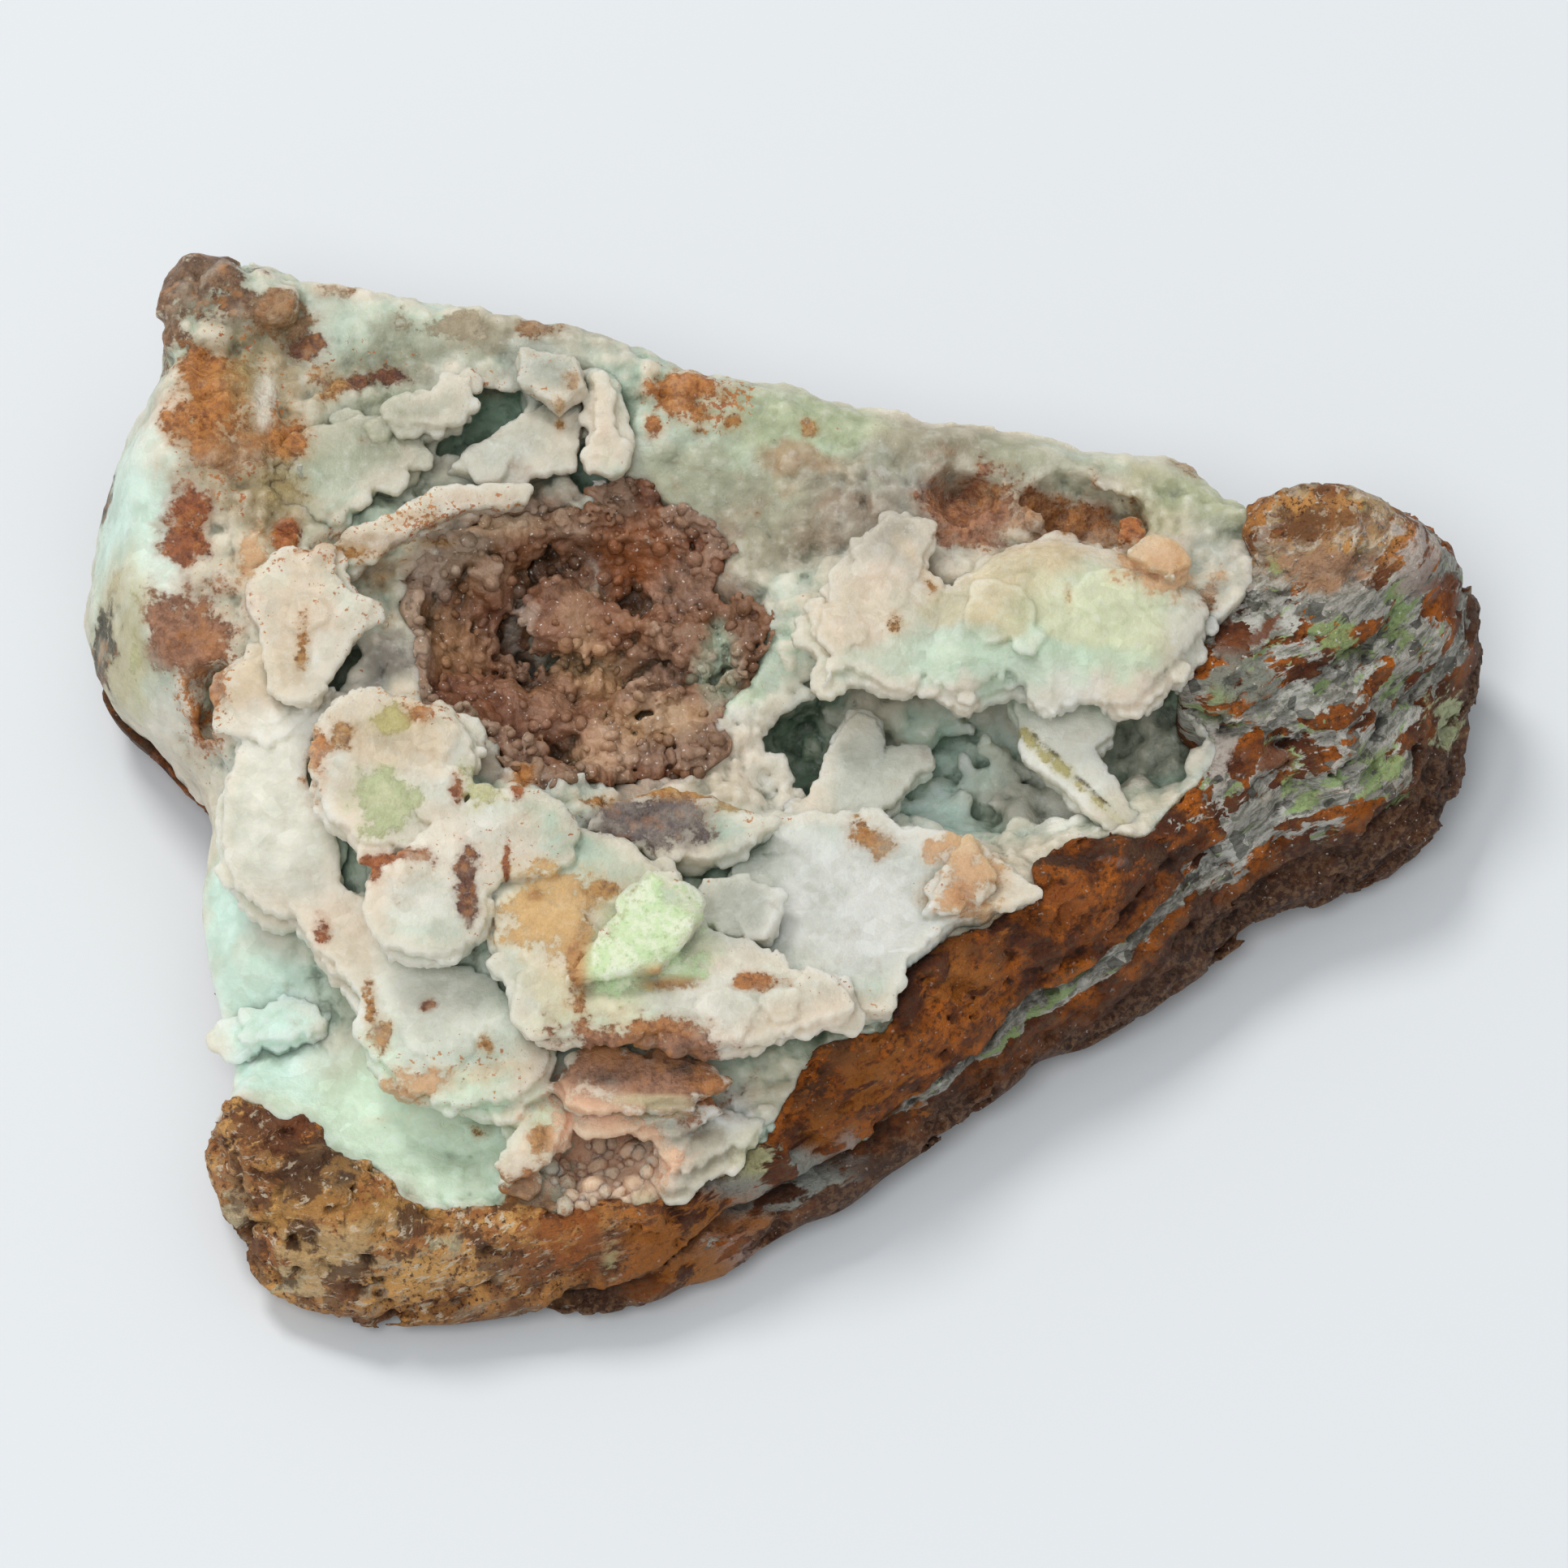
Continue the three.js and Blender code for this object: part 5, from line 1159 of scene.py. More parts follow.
# %% Patches of the crust: crusts of iron and other clear-cut marks, with broken edges
PATCHES = [
    # knob and slab
    ("knob_brown", -42.3, 35, 21, 3.1, 3.2, 1.1), ("knob_brown", -43.8, 32, 18, 1.8, 2.8, 0.9),
    ("tan_orange", -40.5, 34.4, 23, 0.8, 0.9, 0.8), ("tan_orange", -36.1, 32, 22, 2.3, 1.3, 0.9),
    ("red_brown", -33.9, 30.3, 21, 1.4, 1.1, 0.9), ("orange", -42, 28.5, 22, 2.2, 1, 0.95),
    ("orange", -40.9, 24.1, 22, 2.6, 3.7, 0.95), ("olive_tan", -38.5, 26.2, 22, 2, 2.9, 0.8),
    ("white", -37.2, 25.6, 22, 0.9, 2.2, 0.9), ("orange", -35.3, 22, 21, 1.3, 1.6, 0.9),
    ("tan_orange", -39.3, 20.7, 21, 2.9, 1.9, 0.85), ("rust", -42.5, 15.5, 21, 1.7, 2.6, 1),
    ("olive_tan", -35.8, 18.5, 21, 2, 1.9, 0.8), ("rust", -35.3, 14.5, 20, 0.9, 1.2, 0.95),
    ("red_brown", -28.6, 27.9, 20, 2.2, 0.9, 0.9), ("ochre", -32.8, 27.6, 21, 1.2, 1.6, 0.85),
    ("purple_brown", -41.9, 8.2, 18.5, 3.1, 2.9, 1), ("orange", -40.3, 6.9, 19, 1, 1, 0.8),
    ("amber", -40.6, 2.8, 16, 1.3, 1.9, 0.95), ("peach", -37.5, 12.5, 20, 1.3, 2, 0.8),
    # back rim
    ("tan_orange", -32.4, 34.6, 21.5, 1.7, 0.7, 0.8), ("tan", -24.8, 31.6, 21, 3.5, 1, 0.8),
    ("tan_orange", -17.5, 31.3, 21, 1.5, 0.9, 0.85), ("orange", -7, 26.6, 20.5, 2.4, 2, 1),
    ("orange", -9.3, 23.8, 20, 0.8, 0.9, 0.9), ("ochre", -3.9, 24.2, 20, 0.7, 0.7, 0.9),
    ("orange", -4.4, 25.8, 20.5, 0.9, 0.5, 0.85), ("ochre", 1.8, 24, 20, 0.6, 0.6, 0.8),
    ("ochre", -15.1, 25.9, 21, 0.7, 0.7, 0.8), ("ochre", -16, 24, 21, 0.5, 0.6, 0.8),
    ("purple_brown", 13.1, 17.9, 18, 2.8, 2.7, 1), ("stain_brown", 20.3, 17.4, 17.5, 3.8, 1.9, 1),
    ("ochre", 14.2, 19.4, 19.5, 1.6, 0.6, 0.85), ("amber", 24.8, 15.3, 20.8, 1.5, 1.4, 1),
    ("tan_orange", 28.7, 22.2, 18.5, 1.5, 0.9, 0.7), ("stain_brown", 29.9, 10.8, 17.5, 0.8, 1.2, 0.8),
    # left plates
    ("orange", -33.7, 11.8, 22, 0.8, 0.6, 0.8), ("orange", -32.9, 12.5, 22, 0.5, 0.6, 0.8),
    ("orange", -30.4, 15.2, 22, 1.5, 0.5, 0.8), ("orange", -27.9, 9, 21, 0.6, 1.3, 0.8),
    ("ochre", -33.8, 4.3, 21.5, 0.5, 2.2, 0.7), ("orange", -32.7, -4.1, 21, 0.9, 2.4, 0.9),
    ("ochre", -31, -2.4, 21, 1.2, 1.2, 0.8), ("yellow_core", -27.5, -1.6, 21, 1.5, 0.9, 0.9),
    ("orange", -25.4, -1, 21, 1, 1, 0.85), ("yellow_green", -28.2, -7.9, 21, 2.1, 1.9, 1),
    ("talc", -21.3, -6, 20, 1.3, 1.6, 0.85), ("rust", -22.8, -6.6, 20, 0.5, 1, 0.95),
    ("orange", -18.2, -4.3, 19, 0.9, 1.6, 0.85), ("rust", -18.5, -6.4, 19, 0.5, 0.6, 0.9),
    ("rust", -27.1, -11.8, 20, 2, 0.6, 0.95), ("rust", -28.4, -13.2, 20, 0.5, 1.3, 0.8),
    ("red_brown", -22, -14.4, 20.5, 0.7, 2.2, 1), ("rust", -19.3, -12.4, 20, 0.2, 1.7, 0.8),
    ("pale_ochre", -15.8, -15.6, 20, 3, 3, 0.9), ("ochre", -12.8, -13.8, 20.5, 1.8, 0.7, 0.85),
    ("ochre", -13.6, -16.6, 20, 0.6, 2.2, 0.85), ("ochre", -17.2, -14.2, 20, 0.8, 0.8, 0.8),
    ("orange", -14.2, -19.6, 20, 0.9, 2.9, 0.9), ("apple", -9.3, -17.6, 21.5, 3.6, 2.9, 1.1),
    ("apple", -12, -19.7, 21, 2.3, 2, 1.1), ("orange", -8.3, -20.6, 20, 2.1, 0.6, 0.85),
    ("ochre", -28.8, -20.6, 16, 0.5, 1.9, 0.85), ("ochre", -27.9, -22.7, 16, 0.8, 1, 0.85),
    ("rust", -32.2, -14.7, 16, 0.6, 1.2, 0.85), ("peach", -26.2, -26.1, 15, 3.5, 0.9, 0.8),
    ("rust", -24.6, -20.5, 15, 0.6, 0.5, 0.85), ("ochre", -20.6, -23.4, 14, 0.6, 1.2, 0.8),
    # front and right plates
    ("purple_brown", -9.9, -25.8, 14.8, 4.9, 2.4, 1.1),
    ("dark_brown", -12.4, -26.2, 14.4, 1.8, 0.6, 1.2), ("dark_brown", -7.4, -25.4, 14.6, 1.6, 0.5, 1.2),
    ("cream", -9.6, -27.8, 13, 2.6, 0.4, 1.3), ("gold_brown", -5.6, -26.6, 14, 1.2, 0.7, 1.4),
    ("orange", -9.9, -23.8, 15, 4, 0.7, 0.9), ("ochre", -16.7, -29.7, 12.5, 0.8, 1.6, 0.9),
    ("pink_druse", -12.6, -29.6, 9.5, 3.8, 4.5, 1.1), ("dark_brown", -9.9, -26.6, 8.5, 1.3, 1.6, 1),
    ("cream", -9.9, -33.6, 10, 1.2, 1.7, 1), ("stain_brown", -17.5, -33.5, 9, 3, 1.9, 0.9),
    ("ochre", -21.3, -26.9, 8, 0.7, 0.6, 0.7), ("orange", -1.7, -20.5, 17.5, 1.7, 0.6, 0.75),
    ("ochre", 6.2, -8, 16.5, 1.5, 1.2, 0.7), ("orange", 12.5, -12.7, 18, 1, 1.4, 0.9),
    ("peach", 12.7, -11.4, 18, 2.4, 3.6, 0.85), ("plate_lilac", -10, -7.7, 18.5, 3.4, 1.7, 1),
    ("ochre", -9.4, -5.5, 18.5, 4, 0.7, 0.8), ("olive_tan", -3.7, -6.5, 18.5, 1.7, 0.6, 0.8),
    ("ochre", 10.3, 10.5, 20.5, 0.6, 0.9, 0.8), ("ochre", 20.1, 9, 20.5, 0.4, 0.9, 0.75),
    ("peach", 27, 12.1, 21.5, 2.8, 1.9, 1), ("ochre", 27.8, 11.5, 21.6, 0.5, 0.6, 0.8),
    ("ochre", 7.7, 6.9, 20.5, 0.7, 1.4, 0.6),
    # left end, with its dark places, and the long bar and knob again
    ("dark_olive", -48.7, 23.3, 11, 0.7, 1.9, 0.9), ("dark_olive", -48.6, 10.9, 11, 1.3, 2.4, 0.85),
    ("cream", -47.3, 13.7, 13, 1.5, 1, 0.7), ("talc", -45.9, 8.7, 14, 0.8, 2.9, 0.6),
    ("rust", -47.5, 9.5, 7, 1.7, 0.9, 0.8), ("ochre", -30.2, 12.2, 21.5, 2.6, 0.5, 0.7),
    ("ochre", -25.4, 15, 22, 2, 0.5, 0.65), ("knob_brown", -39.4, 32.6, 21, 2.2, 1.4, 0.8),
    ("tan_orange", -43.8, 32.4, 20, 1.2, 2, 0.8),
]


def streak(name, start, end, size, share, count):
    """A thin streak: a row of patches so close that they run into each other."""
    along = np.linspace(start, end, count)
    return [(name, *place, *size, share) for place in along.tolist()]


# the core of the broken plate: a yellow line with a thin dark one in it
PATCHES += streak("yellow_core", (16.9, 1.5, 13.3), (20.2, -1.5, 12.4), (0.55, 0.45), 0.85, 14)
PATCHES += streak("yellow_core", (20.8, -2.2, 12.2), (24.0, -4.9, 11.4), (0.4, 0.4), 0.8, 14)
PATCHES += streak("dark_olive", (17.6, 1.25, 13.1), (19.3, -0.25, 12.6), (0.22, 0.2), 1.0, 14)
PATCHES += streak("dark_olive", (20.6, -1.6, 12.3), (23.4, -4.1, 11.5), (0.2, 0.2), 1.0, 20)
print(len(CRUST_STAINS), "stains and", len(PATCHES), "patches on the crust")

# %% Stains of the rock
ROCK_STAINS = [
    # right end: rounded brown lump, white patch and green streaks
    ("stain_brown", 37.6, 15.8, 20, 3.5, 2.2, 0.7), ("lump_pink", 38.4, 12, 19, 3.4, 1.4, 0.9),
    ("chalk", 44.8, 14.1, 18, 1.6, 2.6, 0.95), ("leaf_green", 39.2, 7.4, 17, 1.7, 1.1, 0.85),
    ("leaf_green", 43.4, 9.6, 15, 1.4, 1.6, 0.7), ("leaf_green", 42.2, 0.5, 9, 1.9, 1.2, 0.95),
    ("yellow_green", 47.3, 5.8, 10, 1.8, 1.8, 0.8), ("leaf_green", 30.7, 3.4, 15, 1.2, 0.8, 0.8),
    ("leaf_green", 36.4, -1.8, 11, 1.6, 1.2, 0.8), ("chalk", 30.6, 0.1, 14.5, 1.2, 2, 0.9),
    ("shadow_grey", 32, 4, 16, 3, 2.2, 0.7), ("dark_rust", 31.7, 8.4, 19, 2.6, 1.8, 0.8),
    ("dark_rust", 45.9, 12.2, 15, 2.4, 1.6, 0.8), ("dark_rust", 34.1, 0, 13, 2, 1.2, 0.8),
    # front wall: amber lumps above, dark brown below
    ("amber", 12.2, -16.5, 12, 3.4, 3, 0.8), ("amber", 5.9, -23.3, 9, 3, 3, 0.8),
    ("amber", 2.5, -27.2, 8, 2, 2, 0.7), ("amber", -4.9, -32.2, 4, 3.4, 2, 0.85),
    ("rust", 19, -11.9, 13, 3, 2, 0.7), ("brown", 4.2, -22.3, 13, 2, 2, 0.7),
    ("talc", -3.4, -29.1, 8, 2.6, 1.4, 0.9), ("lavender", -3.7, -34, 2, 2.4, 1.6, 0.7),
    # crumbly corner
    ("red_brown", -35.4, -28, 9.5, 3, 3, 0.85), ("lilac", -31.9, -31.8, 9.5, 2, 1.6, 0.5),
    ("ochre", -27.3, -34.1, 9, 4, 1.8, 0.8), ("chalk", -30.2, -36.4, 6, 3, 1.4, 0.45),
    ("ochre", -33, -33, 9, 4, 1.6, 0.95), ("gold_brown", -8, -33.6, 5, 3, 2.4, 0.8),
    ("rust", -15.5, -34.9, 8, 3.4, 2.2, 0.85), ("orange", -19.5, -32.9, 9, 1.4, 1, 0.8),
    ("gold_brown", -38.1, -30.9, 9, 2, 3, 0.7), ("pink_grey", -27.5, -37, 2, 4, 1.4, 0.6),
    # corner, seam and lower course
    ("dark_brown", -32.4, -30.4, 9.5, 2.6, 2.4, 1.3), ("pale_ochre", -31.5, -36, 7, 4, 1.6, 1.0),
    ("red_brown", -35.7, -26.8, 9.5, 2.8, 2, 1.2), ("cream", -38.5, -32.4, 7, 1.2, 2.2, 0.9),
    ("orange", -31.9, -33.7, 8, 3, 1.3, 0.9), ("cream", -25.2, -35.9, 5, 3.5, 0.7, 0.85),
    ("shadow_grey", -26.9, -35, 6.5, 2.3, 1, 0.8), ("dark_brown", -21.2, -35.4, 6, 1.7, 1.2, 0.8),
    ("amber", -8.2, -34.8, 6, 2.9, 1.9, 0.9), ("talc", -12.1, -35, 4, 0.7, 1.9, 0.85),
    ("cream", -34.3, -36.7, 3, 2.3, 0.7, 0.8), ("chalk", -30.9, -37.1, 2.5, 2.3, 0.6, 0.7),
    ("blue_grey", -4.3, -31.2, 6, 3.8, 0.9, 0.95), ("blue_grey", 1.9, -29.2, 6, 2.9, 0.9, 0.9),
    ("talc", -3.4, -29.6, 8, 2.1, 1.2, 0.95), ("dark_brown", 5.3, -28.3, 4, 3.5, 1.2, 0.8),
    ("dark_brown", 12.7, -22.7, 8, 1.7, 2.2, 0.5), ("dark_brown", 2.5, -24.4, 10, 1.4, 2.4, 0.8),
    ("chalk", 4.8, -28, 7, 1.3, 0.7, 0.7), ("dark_brown", 17.9, -8.4, 14.5, 3.5, 0.9, 0.85),
    ("lavender", 23, -8.5, 14, 1, 0.3, 0.6), ("dark_brown", 26.5, -7.6, 13, 4, 1.4, 0.75),
    ("dark_brown", 13.4, -16, 14, 3, 0.9, 0.7), ("gold_brown", -4.9, -35.5, 3, 2.3, 1.4, 0.8),
    # left wall under the crust
    ("dark_brown", -46, 8, 5, 5, 6, 0.7), ("olive_grey", -47, 18, 6, 4, 8, 0.6),
]

# %% [markdown]
# Creases are darkened as painted shade, greener and greyer on the crust, and edges are paled as a
# painted highlight. How tucked away a place is shows in how much stone lies round it: the share of
# a small box that is solid, near by and wide round.

# %% How tucked away each place is, from how much stone lies round it
NEAR_REACH, WIDE_REACH = 1.2, 3.9
solid = np.minimum(ground.field, rock.field) < 0
for net in (left_plates, right_plates, lining):
    solid |= net.sampled(ground.axes) < 0
close_by = blurred(solid.astype(np.float32), round(NEAR_REACH / GROUND_SPACING))
wide_round = blurred(solid.astype(np.float32), round(WIDE_REACH / GROUND_SPACING))
print("share of the net that is stone:", round(float(solid.mean()), 3))


# %% Values kept on the corners of a mesh
def corners_of(piece):
    found = np.empty(len(piece.data.vertices) * 3, np.float32)
    piece.data.vertices.foreach_get("co", found)
    return found.reshape(-1, 3) / np.float32(MM)


def at_points(volume, points):
    at = np.clip(np.round((points - ground.low) / GROUND_SPACING).astype(int), 0, ground.count - 1)
    return volume[tuple(at.T)]


def keep_colour(piece, name, values):
    layer = piece.data.attributes.new(name, "FLOAT_COLOR", "POINT")
    with_alpha = np.concatenate([np.clip(values, 0, 1), np.ones((len(values), 1))], 1)
    layer.data.foreach_set("color", with_alpha.astype(np.float32).ravel())


def keep_value(piece, name, values):
    layer = piece.data.attributes.new(name, "FLOAT", "POINT")
    layer.data.foreach_set("value", np.asarray(values, np.float32))


def keep_hollows(piece, points):
    """How far each corner stands out, or is tucked into a crease: the edge share drives rust and a
    painted highlight, the crease share painted shade.
    """
    tucked = at_points(close_by, points)
    keep_value(piece, "edge", smooth_step(tucked, 0.5, 0.32))
    keep_value(piece, "crease_shade", smooth_step(tucked, 0.54, 0.72))
    return tucked


print("corners of the rock's mesh:", len(corners_of(rock_piece)))

# %% Stains with soft edges, and patches whose cover the material breaks up
PATCH_DEPTH = 2.0
STAIN_SOFTNESS = 0.35


def patchwork(points, patches):
    """Colour of the patches round each point, and how surely a patch covers it: 0.5 at its edge."""
    colour = np.zeros((len(points), 3), np.float32) + 1e-6 * linear(COLOURS["rust"])
    total = np.full(len(points), 1e-6, np.float32)
    cover = np.zeros(len(points), np.float32)
    for name, *spot, strength in patches:
        share = strength * np.clip(1 - spot_distance(points, spot, PATCH_DEPTH) / 2, 0, 1)
        weight = share ** 4
        colour += weight[:, None] * linear(COLOURS[name])
        total += weight
        cover = np.maximum(cover, share)
    return colour / total[:, None], cover


def keep_patches(piece, points, patches):
    colour, cover = patchwork(points, patches)
    keep_colour(piece, "patch", colour)
    keep_value(piece, "cover", cover)


def blend_to(colour, name, share):
    share = share[:, None]
    return colour * (1 - share) + linear(COLOURS[name]) * share


def laid_over(colour, points, stains, wobble=1.0):
    """Lay stains over a colour at each point, with wavy edges."""
    moved = points.copy()
    for size, amount in ((3.6, 1.5), (1.6, 0.9), (0.7, 0.5)):
        moved += wobble * amount * wave_shift(points, size, 40.0, 5)
    for name, *spot in stains:
        colour = blend_to(colour, name, nearness(moved, [spot], STAIN_SOFTNESS))
    return colour


# %% The coat of the crust, its rust and its patches
def crust_colour(points, tucked, deep):
    """Pinkish white on what stands out, with painted shade, greener and greyer, in what is tucked away.
    """
    drift = smooth_step(waves(points, 11.0, 70.0) + 0.5 * waves(points, 4.0, 71.0), -0.5, 0.6)
    warm = smooth_step(waves(points, 8.0, 75.0) + 0.4 * waves(points, 3.0, 76.0), 0.0, 0.6)
    colour = np.tile(linear(COLOURS["white"]), (len(points), 1))
    colour = blend_to(colour, "pale_mint", drift)
    colour = blend_to(colour, "pinkish", 0.7 * warm)
    colour = blend_to(colour, "pinkish", 0.6 * smooth_step(tucked, 0.52, 0.36))
    # painted shade: a darker aqua where much stone lies round the place
    return blend_to(colour, "deep_aqua", 0.55 * smooth_step(deep, 0.52, 0.74))


RUSTY_PLACES = [  # where rust grains gather on the crust: place, reach, strength
    (-39, 24, 21, 5, 9, 0.9), (-31, 29, 21, 8, 3, 0.6), (-6, 26, 20.5, 5, 3, 1.0),
    (-33, 10, 21, 7, 8, 0.55), (-26, 0, 21, 5, 5, 0.6), (-20, -11, 19, 8, 6, 0.55),
    (-10, -17, 19, 7, 5, 0.6), (-22, -25, 13, 9, 3, 0.6), (10, -13, 17, 6, 3, 0.4),
    (-5, -7, 18, 6, 2, 0.6), (2, -20, 16, 6, 3, 0.5), (-24, 15, 22, 9, 2, 0.7),
    (-14, 8, 14, 12, 11, 0.5), (20, 10, 20, 10, 6, 0.25), (2, 23, 20, 8, 3, 0.35),
    (-20, 28, 21, 8, 4, 0.45), (-41, 5, 16, 4, 8, 0.8),
]
GRAINY_PLACES = [(-12.4, -29.4, 9, 3.6, 4, 1)]  # where small round grains crowd on the crust


def near_hollow(points):
    """1 inside the central hollow and on its rim, falling off around it."""
    at, half, turn = CENTRAL_HOLLOW
    x, y, z = (points + 1.5 * wave_shift(points, 3.4, 80.0)).T
    return smooth_step(egg(at, half, turn, x, y, z), 1.4, 0.2)


def dress(piece):
    points = corners_of(piece)
    tucked, deep = keep_hollows(piece, points), at_points(wide_round, points)
    colour = laid_over(crust_colour(points, tucked, deep), points, CRUST_STAINS)
    rim = near_hollow(points) * smooth_step(deep, 0.42, 0.55)
    keep_colour(piece, "coat", blend_to(colour, "pink_brown", 0.6 * rim))
    keep_value(piece, "rust", nearness(points, RUSTY_PLACES, 0.6) + 0.12)
    keep_value(piece, "grainy", nearness(points, GRAINY_PLACES, 0.5))
    keep_patches(piece, points, PATCHES)
    print(piece.name, "corners:", len(points))


for piece in (ground_piece, left_piece, right_piece):
    dress(piece)

# %% [markdown]
# The lining keeps the same values as the crust, so one kind of material serves both, and only
# the coat differs. The rock keeps a coordinate up through its layers instead.

# %% The lining is brown, with paler tips, a lilac slope on the left and a pink foot
LINING_STAINS = [
    ("ochre", -20.1, 17.1, 19, 2.8, 1.7, 0.85), ("pink_grey", -22.7, 14.7, 17.9, 2, 1.7, 0.8),
    ("hollow_tan", -21.7, 13.8, 15.5, 2.3, 2.2, 0.85), ("lilac", -26.5, 14.1, 17, 1, 1.3, 0.9),
    ("chalk", -24.5, 11.9, 18, 1, 1.2, 0.8), ("hollow_tan", -24.2, 8.9, 16, 3.5, 2.5, 0.9),
    ("deep_brown", -18.7, 8, 12.3, 2, 2.6, 1), ("brown", -15, 15.4, 13.9, 2.9, 2.9, 0.8),
    ("rust", -10.1, 15.7, 14.8, 3.6, 2.6, 0.85), ("red_brown", -5.2, 14.5, 18.2, 2.3, 3.2, 0.85),
    ("hollow_lilac", -7.6, 13.1, 14.3, 3.1, 2.2, 0.8), ("chalk", -14.3, 13.8, 12.9, 0.5, 1.9, 0.9),
    ("cream_pink", -14.7, 11.3, 12, 2.4, 2.3, 0.85), ("peach", -14.1, 7.6, 11.6, 2.8, 2.3, 0.8),
    ("chalk", -18.7, 11.1, 12.7, 0.7, 2.4, 0.8), ("cream_pink", -9.4, 8.4, 12.4, 2, 1.6, 0.6),
    ("hollow_lilac", -8, 8, 12.4, 2.2, 3.2, 0.85), ("brown", -2.5, 8.8, 17, 1.4, 4.3, 0.9),
    ("pink_brown", -2.3, 5.1, 17, 1.6, 1.6, 0.9), ("pale_mint", -4.7, 7.1, 15, 1.3, 3.3, 0.85),
    ("peach", -9, 3.1, 13.4, 3.5, 2, 1), ("orange", -4.7, 0.6, 17, 1.4, 0.9, 0.9),
    ("cream_pink", -13, 0, 14.4, 2.6, 2.4, 0.9), ("pink_brown", -16, 3.2, 12.6, 2.1, 2.6, 0.9),
    ("brown", -10, -3.6, 17, 1.7, 1.2, 0.9),
]
points = corners_of(lining_piece)
tucked = keep_hollows(lining_piece, points)
tip_highlight = smooth_step(tucked, 0.58, 0.4)
patchy = smooth_step(waves(points, 3.0, 33.0) + 0.5 * waves(points, 1.3, 35.0), -0.3, 0.5)
colour = np.tile(linear(COLOURS["red_brown"]), (len(points), 1))
colour = blend_to(colour, "orange_brown", 0.6 * patchy)
colour = laid_over(colour, points, LINING_STAINS, 0.6)
# painted highlight: tips that stand out paled to pinkish tan
colour = blend_to(colour, "pinkish_tan", 0.3 * tip_highlight)
near_top = smooth_step(at_points(stone, points) + 0.9 * waves(points, 2.2, 37.0), -1.4, 0.3)
colour = blend_to(colour, "pink_grey", 0.7 * near_top * smooth_step(points[:, 0], -13, -21))
at_rim = smooth_step(at_points(stone, points) + 0.9 * waves(points, 1.6, 39.0), -0.5, 0.3)
colour = blend_to(colour, "pink_grey", 0.4 * at_rim)
# painted shade: the lining darkened to deep brown where it is tucked away
colour = blend_to(colour, "deep_brown", 0.5 * smooth_step(tucked, 0.6, 0.8))
keep_colour(lining_piece, "coat", colour)
keep_patches(lining_piece, points, PATCHES)
keep_value(lining_piece, "rust", np.full(len(points), 0.35))
keep_value(lining_piece, "grainy", 0.4 + 0.6 * smooth_step(waves(points, 3.0, 51.0), -0.2, 0.4))
print("values kept on the lining:", [layer.name for layer in lining_piece.data.attributes])

# %% The rock keeps its layer coordinate, so that its colours follow its relief
points = corners_of(rock_piece)
layered = in_layers(points)
keep_hollows(rock_piece, points)
keep_value(rock_piece, "layer", layered[:, 2])
keep_value(rock_piece, "hard", hardness(layered, at_right_end(points)))
keep_value(rock_piece, "banded", at_right_end(points))
keep_value(rock_piece, "corner", nearness(points, BROWN_CORNER + CRUMBLY_LUMP, 0.4))
lowest = smooth_step(points[:, 2] - 0.12 * points[:, 0] + 1.2 * waves(points, 5, 9.0), 6.5, 3.5)
keep_value(rock_piece, "lowest", lowest)
keep_patches(rock_piece, points, ROCK_STAINS)
print("values kept on the rock:", [layer.name for layer in rock_piece.data.attributes])

# %% [markdown]
# A material is a net of small nodes. Written as sums and products of wires it reads like a
# formula, so one small class stands for a wire and adds the matching node for each sign.

# %% Materials as formulas
class Wire:
    """A value in a material's net; arithmetic on it adds Math nodes."""

    def __init__(self, paint, socket):
        self.paint, self.socket = paint, socket

    def math(self, operation, *others):
        values = {i: v for i, v in enumerate((self, *others))}
        return self.paint.node("ShaderNodeMath", {"operation": operation}, values)

    def __add__(self, other):
        return self.math("ADD", other)

    def __sub__(self, other):
        return self.math("SUBTRACT", other)

    def __rsub__(self, other):
        return self.paint.node("ShaderNodeMath", {"operation": "SUBTRACT"}, {0: other, 1: self})

    def __mul__(self, other):
        return self.math("MULTIPLY", other)

    def __truediv__(self, other):
        return self.math("DIVIDE", other)

    __radd__, __rmul__ = __add__, __mul__

    def step(self, low, high):
        """0 below low, 1 above high, and a soft rise between."""
        return self.paint.node("ShaderNodeMapRange", {"interpolation_type": "SMOOTHSTEP"},
                               {"Value": self, "From Min": low, "From Max": high})


